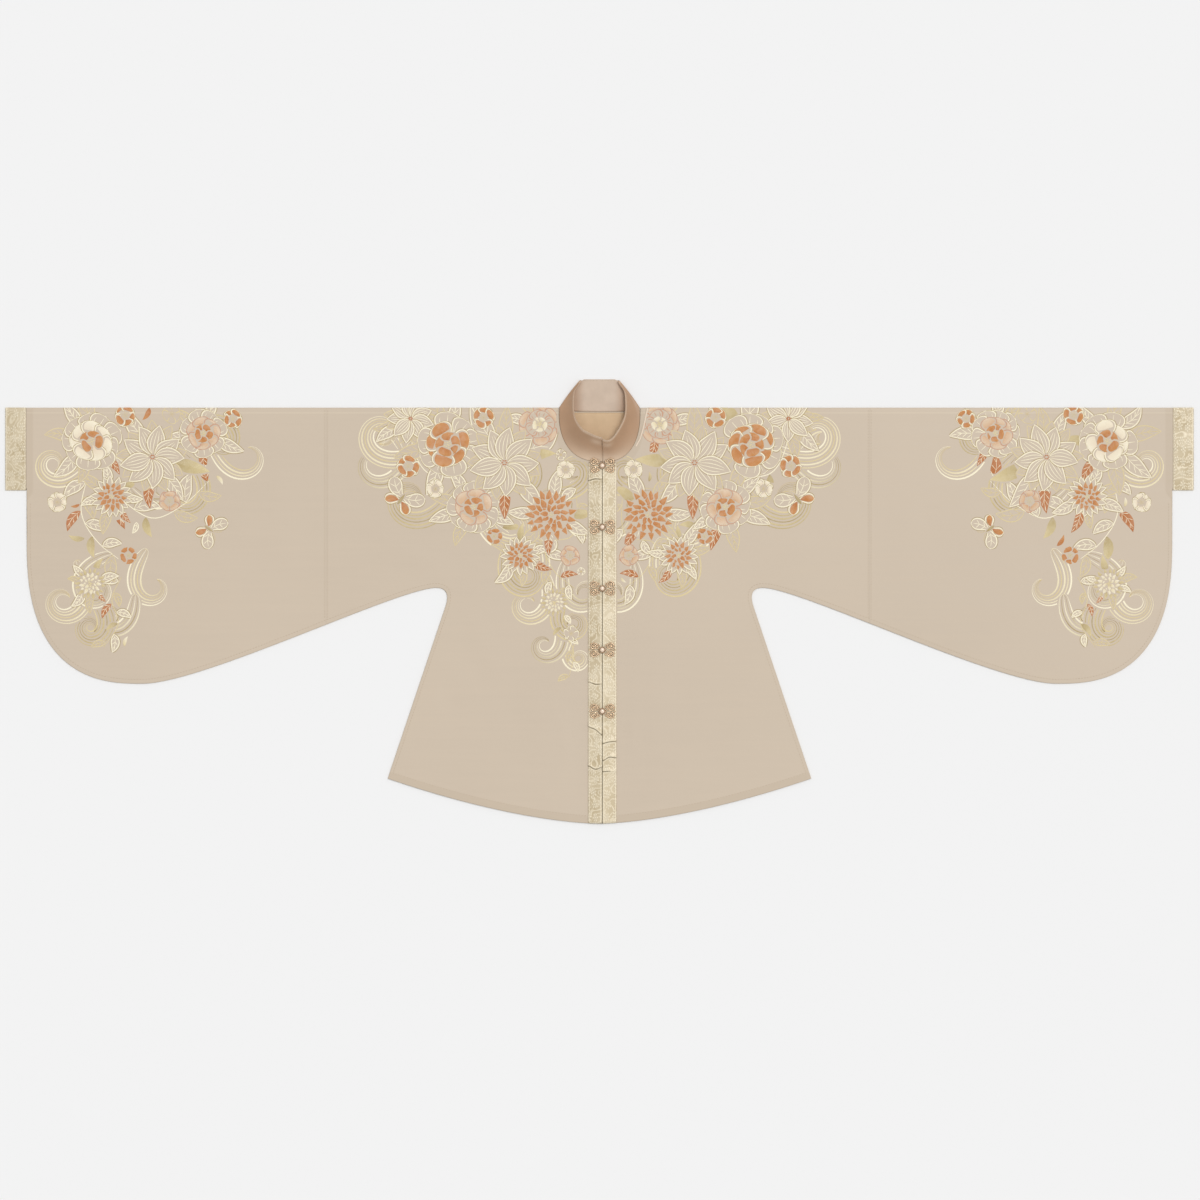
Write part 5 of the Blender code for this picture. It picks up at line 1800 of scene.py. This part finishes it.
def collar_lines():
    """Stitches just under the collar's upper edge, on the side that faces up: its outside in
    front, its inside behind."""
    lines = []
    for side in SIDE:
        grid = garment_points(collar_half(side))
        square = np.cross(np.gradient(grid, axis=0), np.gradient(grid, axis=1))
        square *= (np.sign(square[..., 2]) / np.linalg.norm(square, axis=2))[..., None]
        for columns in (slice(1, 44), slice(-24, -1)):
            up = square[COLLAR_STITCH_ROW, columns]
            lines.append((grid[COLLAR_STITCH_ROW, columns] + up * COLLAR_WALL / 2, up))
    return lines


# Flat cuts

COLLAR_CUT = (0.410, 0.0570)


def cut_rows():
    """Each piece of cloth: name, cut width and length, what it lies on, and what is sewn to it."""
    lining_cut = (2 * LINING_HALF, LINING_DEEP - LINING_TOP)
    rows = [("satin_collar", COLLAR_CUT, ["back_lining"], ["stitching_collar"]),
            ("neck_lining", lining_cut, ["silk_body_left", "silk_body_right"], [])]
    for side in SIDE:
        sewn = ["embroidery_chest_" + side, "stitching_silk_" + side]
        sleeve_cut = (SLEEVE_END - SEAM_X[side], 2 * LOWEST)
        band_cut = (BAND_WIDE, LENGTH - BAND_TOP)
        rows += [
            ("silk_body_" + side, (SEAM_X[side], 2 * LENGTH), [], sewn),
            ("silk_sleeve_" + side, sleeve_cut, [], ["embroidery_sleeve_" + side]),
            ("brocade_band_" + side, band_cut, ["silk_body_" + side], ["stitching_trim_" + side]),
            ("brocade_cuff_" + side, (CUFF_DEEP - SEAM_GAP, 2 * CUFF_TALL), [], []),
        ]
    return rows


def declare(name, flat, rests_on, sewn_on):
    """Reads the face areas of a cloth piece's mesh; nothing is stated or kept. Its flat area
    is that of its middle surface, both layers, or the flat rectangle's where that is smaller.
    """
    objects = bpy.data.objects
    faces = objects[name].data.polygons
    areas = np.empty(len(faces))
    faces.foreach_get("area", areas)


# Stage

FLOOR_HALF = 6.0
LAMP_TOWARDS = (0.30, 0.30, 1.0)
LAMP_SPREAD = 28.0          # degrees
FILM = 36.0                 # millimetres
CAMERA_X = 0.0009
CAMERA_Y = 0.0026


def stage(look):
    """Pale floor, an even dome of light with one broad soft lamp, and the camera straight above."""
    corners = np.array([[-1, -1, 0], [1, -1, 0], [1, 1, 0], [-1, 1, 0]]) * FLOOR_HALF
    mesh = raw_mesh("floor", corners, np.array([[0, 1, 2, 3]]))
    paper = Shade("paper_floor", Roughness=0.9, Specular_IOR_Level=0.1)
    tone = paper.mix(paper.noise(1.5, 1.0), tuple(look.floor), tuple(c * 0.995 for c in look.floor))
    mesh.materials.append(paper.finish(tone))
    floor = bpy.data.objects.new("floor", mesh)
    bpy.context.scene.collection.objects.link(floor)
    floor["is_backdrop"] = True

    world = bpy.data.worlds.new("soft_dome")
    world.use_nodes = True
    background = world.node_tree.nodes["Background"]
    background.inputs["Color"].default_value = (1.0, 1.0, 1.0, 1.0)
    background.inputs["Strength"].default_value = look.dome
    scene = bpy.context.scene
    scene.world = world

    sun = bpy.data.lights.new("soft_lamp", "SUN")
    sun.energy = look.lamp
    sun.angle = np.radians(LAMP_SPREAD)
    lamp = bpy.data.objects.new("soft_lamp", sun)
    lamp.rotation_euler = Vector(LAMP_TOWARDS).to_track_quat("Z", "Y").to_euler()
    scene.collection.objects.link(lamp)

    lens = bpy.data.cameras.new("camera")
    lens.lens = look.lens
    lens.sensor_width = FILM
    lens.clip_end = 50.0
    camera = bpy.data.objects.new("camera", lens)
    camera.location = (CAMERA_X, CAMERA_Y, look.view_wide * look.lens / FILM)
    scene.collection.objects.link(camera)
    scene.camera = camera
    scene.view_settings.view_transform = "Standard"
    scene.view_settings.look = "None"


# Operators and panel

class JACKET_OT_stage(bpy.types.Operator):
    """Lay the floor, set the lights and place the camera"""
    bl_idname = "jacket.stage"
    bl_label = "Stage"

    def execute(self, context):
        stage(context.scene.jacket_stage)
        return {"FINISHED"}


class JACKET_OT_silk(bpy.types.Operator):
    """Make the silk shells of both halves and both sleeves"""
    bl_idname = "jacket.silk"
    bl_label = "Silk"

    def execute(self, context):
        look = context.scene.jacket_cloth
        silk = silk_material(look)
        for side in SIDE:
            silk_body(side, look, silk)
            silk_sleeve(side, look, silk)
        return {"FINISHED"}


class JACKET_OT_trim(bpy.types.Operator):
    """Make the brocade front bands and cuffs"""
    bl_idname = "jacket.trim"
    bl_label = "Bands and cuffs"

    def execute(self, context):
        look = context.scene.jacket_cloth
        # Painted shade and painted light: the left band and the cuffs take a copy darkened with 7 % black,
        # the right band a copy lightened with 20 % of the pale figure
        shaded = brocade_material("gold_brocade_shaded", look, (0.0, 0.0, 0.0), 0.07)
        band("left", shaded)
        band("right", brocade_material("gold_brocade", look, look.brocade_figure, 0.20))
        for side in SIDE:
            cuff(side, shaded)
        return {"FINISHED"}


class JACKET_OT_collar(bpy.types.Operator):
    """Make the standing collar and the lining inside the back neck"""
    bl_idname = "jacket.collar"
    bl_label = "Collar"

    def execute(self, context):
        look = context.scene.jacket_cloth
        # The outside takes a paler tone as painted highlight
        outside = satin_material("collar_satin", tuple(look.collar), 0.34, tuple(look.collar_sheen))
        # The facing takes painted shade in the outside's tone towards its side folds
        inside = satin_material("collar_facing", tuple(look.collar_inside), 0.40, shaded=tuple(look.collar))
        collar(outside, inside)
        back_lining(satin_material("neck_lining", tuple(look.lining), 0.50))
        return {"FINISHED"}


class JACKET_OT_clasps(bpy.types.Operator):
    """Make the openwork clasps with their pearls"""
    bl_idname = "jacket.clasps"
    bl_label = "Clasps"

    def execute(self, context):
        look = context.scene.jacket_clasp
        # A bright copy of the metal, and a darker copy as painted shade under the wires and round the pearls
        metals = [metal_material("rose_gold", tuple(look.metal), 0.22),
                  metal_material("painted_shade_gold", tuple(look.painted_shade_metal), 0.40)]
        pearl = pearl_material(tuple(look.pearl))
        for number in range(1, CLASPS + 1):
            for side in SIDE:
                clasp_wing(number, side, look, metals)
            clasp_button(number, metals, pearl)
        return {"FINISHED"}


class JACKET_OT_embroidery(bpy.types.Operator):
    """Sew the flowers, leaves and scrolls of the chest and the sleeve ends"""
    bl_idname = "jacket.embroidery"
    bl_label = "Embroidery"

    def execute(self, context):
        look, relief = context.scene.jacket_thread, context.scene.jacket_cloth.relief
        thread = thread_material()
        for side in SIDE:
            sew_chest(side, look, relief).piece("embroidery_chest_" + side, "silk", thread)
            sew_sleeve(side, look, relief).piece("embroidery_sleeve_" + side, "silk", thread)
        return {"FINISHED"}


class JACKET_OT_stitching(bpy.types.Operator):
    """Sew the running stitches of hem, edges, seams, trim and collar"""
    bl_idname = "jacket.stitching"
    bl_label = "Stitching"

    def execute(self, context):
        look, relief = context.scene.jacket_thread, context.scene.jacket_cloth.relief
        thread = bpy.data.materials["silk_thread"]
        for side in SIDE:
            silk, trim = silk_lines(side, relief), trim_lines(side)
            thread_piece("stitching_silk_" + side, "silk", thread, *running_stitches(silk, look))
            thread_piece("stitching_trim_" + side, "brocade", thread, *running_stitches(trim, look))
        thread_piece("stitching_collar", "collar_satin", thread, *running_stitches(collar_lines(), look))
        return {"FINISHED"}


class JACKET_OT_cut(bpy.types.Operator):
    """Read the mesh of every piece of cloth in the table of cuts; nothing is stated"""
    bl_idname = "jacket.cut"
    bl_label = "Flat cuts"

    def execute(self, context):
        for row in cut_rows():
            declare(*row)
        return {"FINISHED"}


OPERATORS = [JACKET_OT_stage, JACKET_OT_silk, JACKET_OT_trim, JACKET_OT_collar, JACKET_OT_clasps,
             JACKET_OT_embroidery, JACKET_OT_stitching, JACKET_OT_cut]
SETTINGS = {"jacket_cloth": JacketCloth, "jacket_thread": JacketThread,
            "jacket_clasp": JacketClasp, "jacket_stage": JacketStage}


class JACKET_PT_panel(bpy.types.Panel):
    bl_label = "Hanfu jacket"
    bl_space_type = "VIEW_3D"
    bl_region_type = "UI"
    bl_category = "Jacket"

    def draw(self, context):
        for made in OPERATORS:
            self.layout.operator(made.bl_idname)
        for name, kind in SETTINGS.items():
            column = self.layout.column(align=True)
            for key in kind.__annotations__:
                column.prop(getattr(context.scene, name), key)


def register():
    for kind in [*SETTINGS.values(), *OPERATORS, JACKET_PT_panel]:
        bpy.utils.register_class(kind)
    for name, kind in SETTINGS.items():
        setattr(bpy.types.Scene, name, bpy.props.PointerProperty(type=kind))


def unregister():
    for name in SETTINGS:
        delattr(bpy.types.Scene, name)
    for kind in reversed([*SETTINGS.values(), *OPERATORS, JACKET_PT_panel]):
        bpy.utils.unregister_class(kind)


def corners():
    """The garment's box as plain lists."""
    return [[float(c) for c in corner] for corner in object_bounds()]


def main():
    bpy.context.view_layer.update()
    register()
    for made in OPERATORS:
        group, name = made.bl_idname.split(".")
        getattr(getattr(bpy.ops, group), name)()


if __name__ == "__main__":
    main()
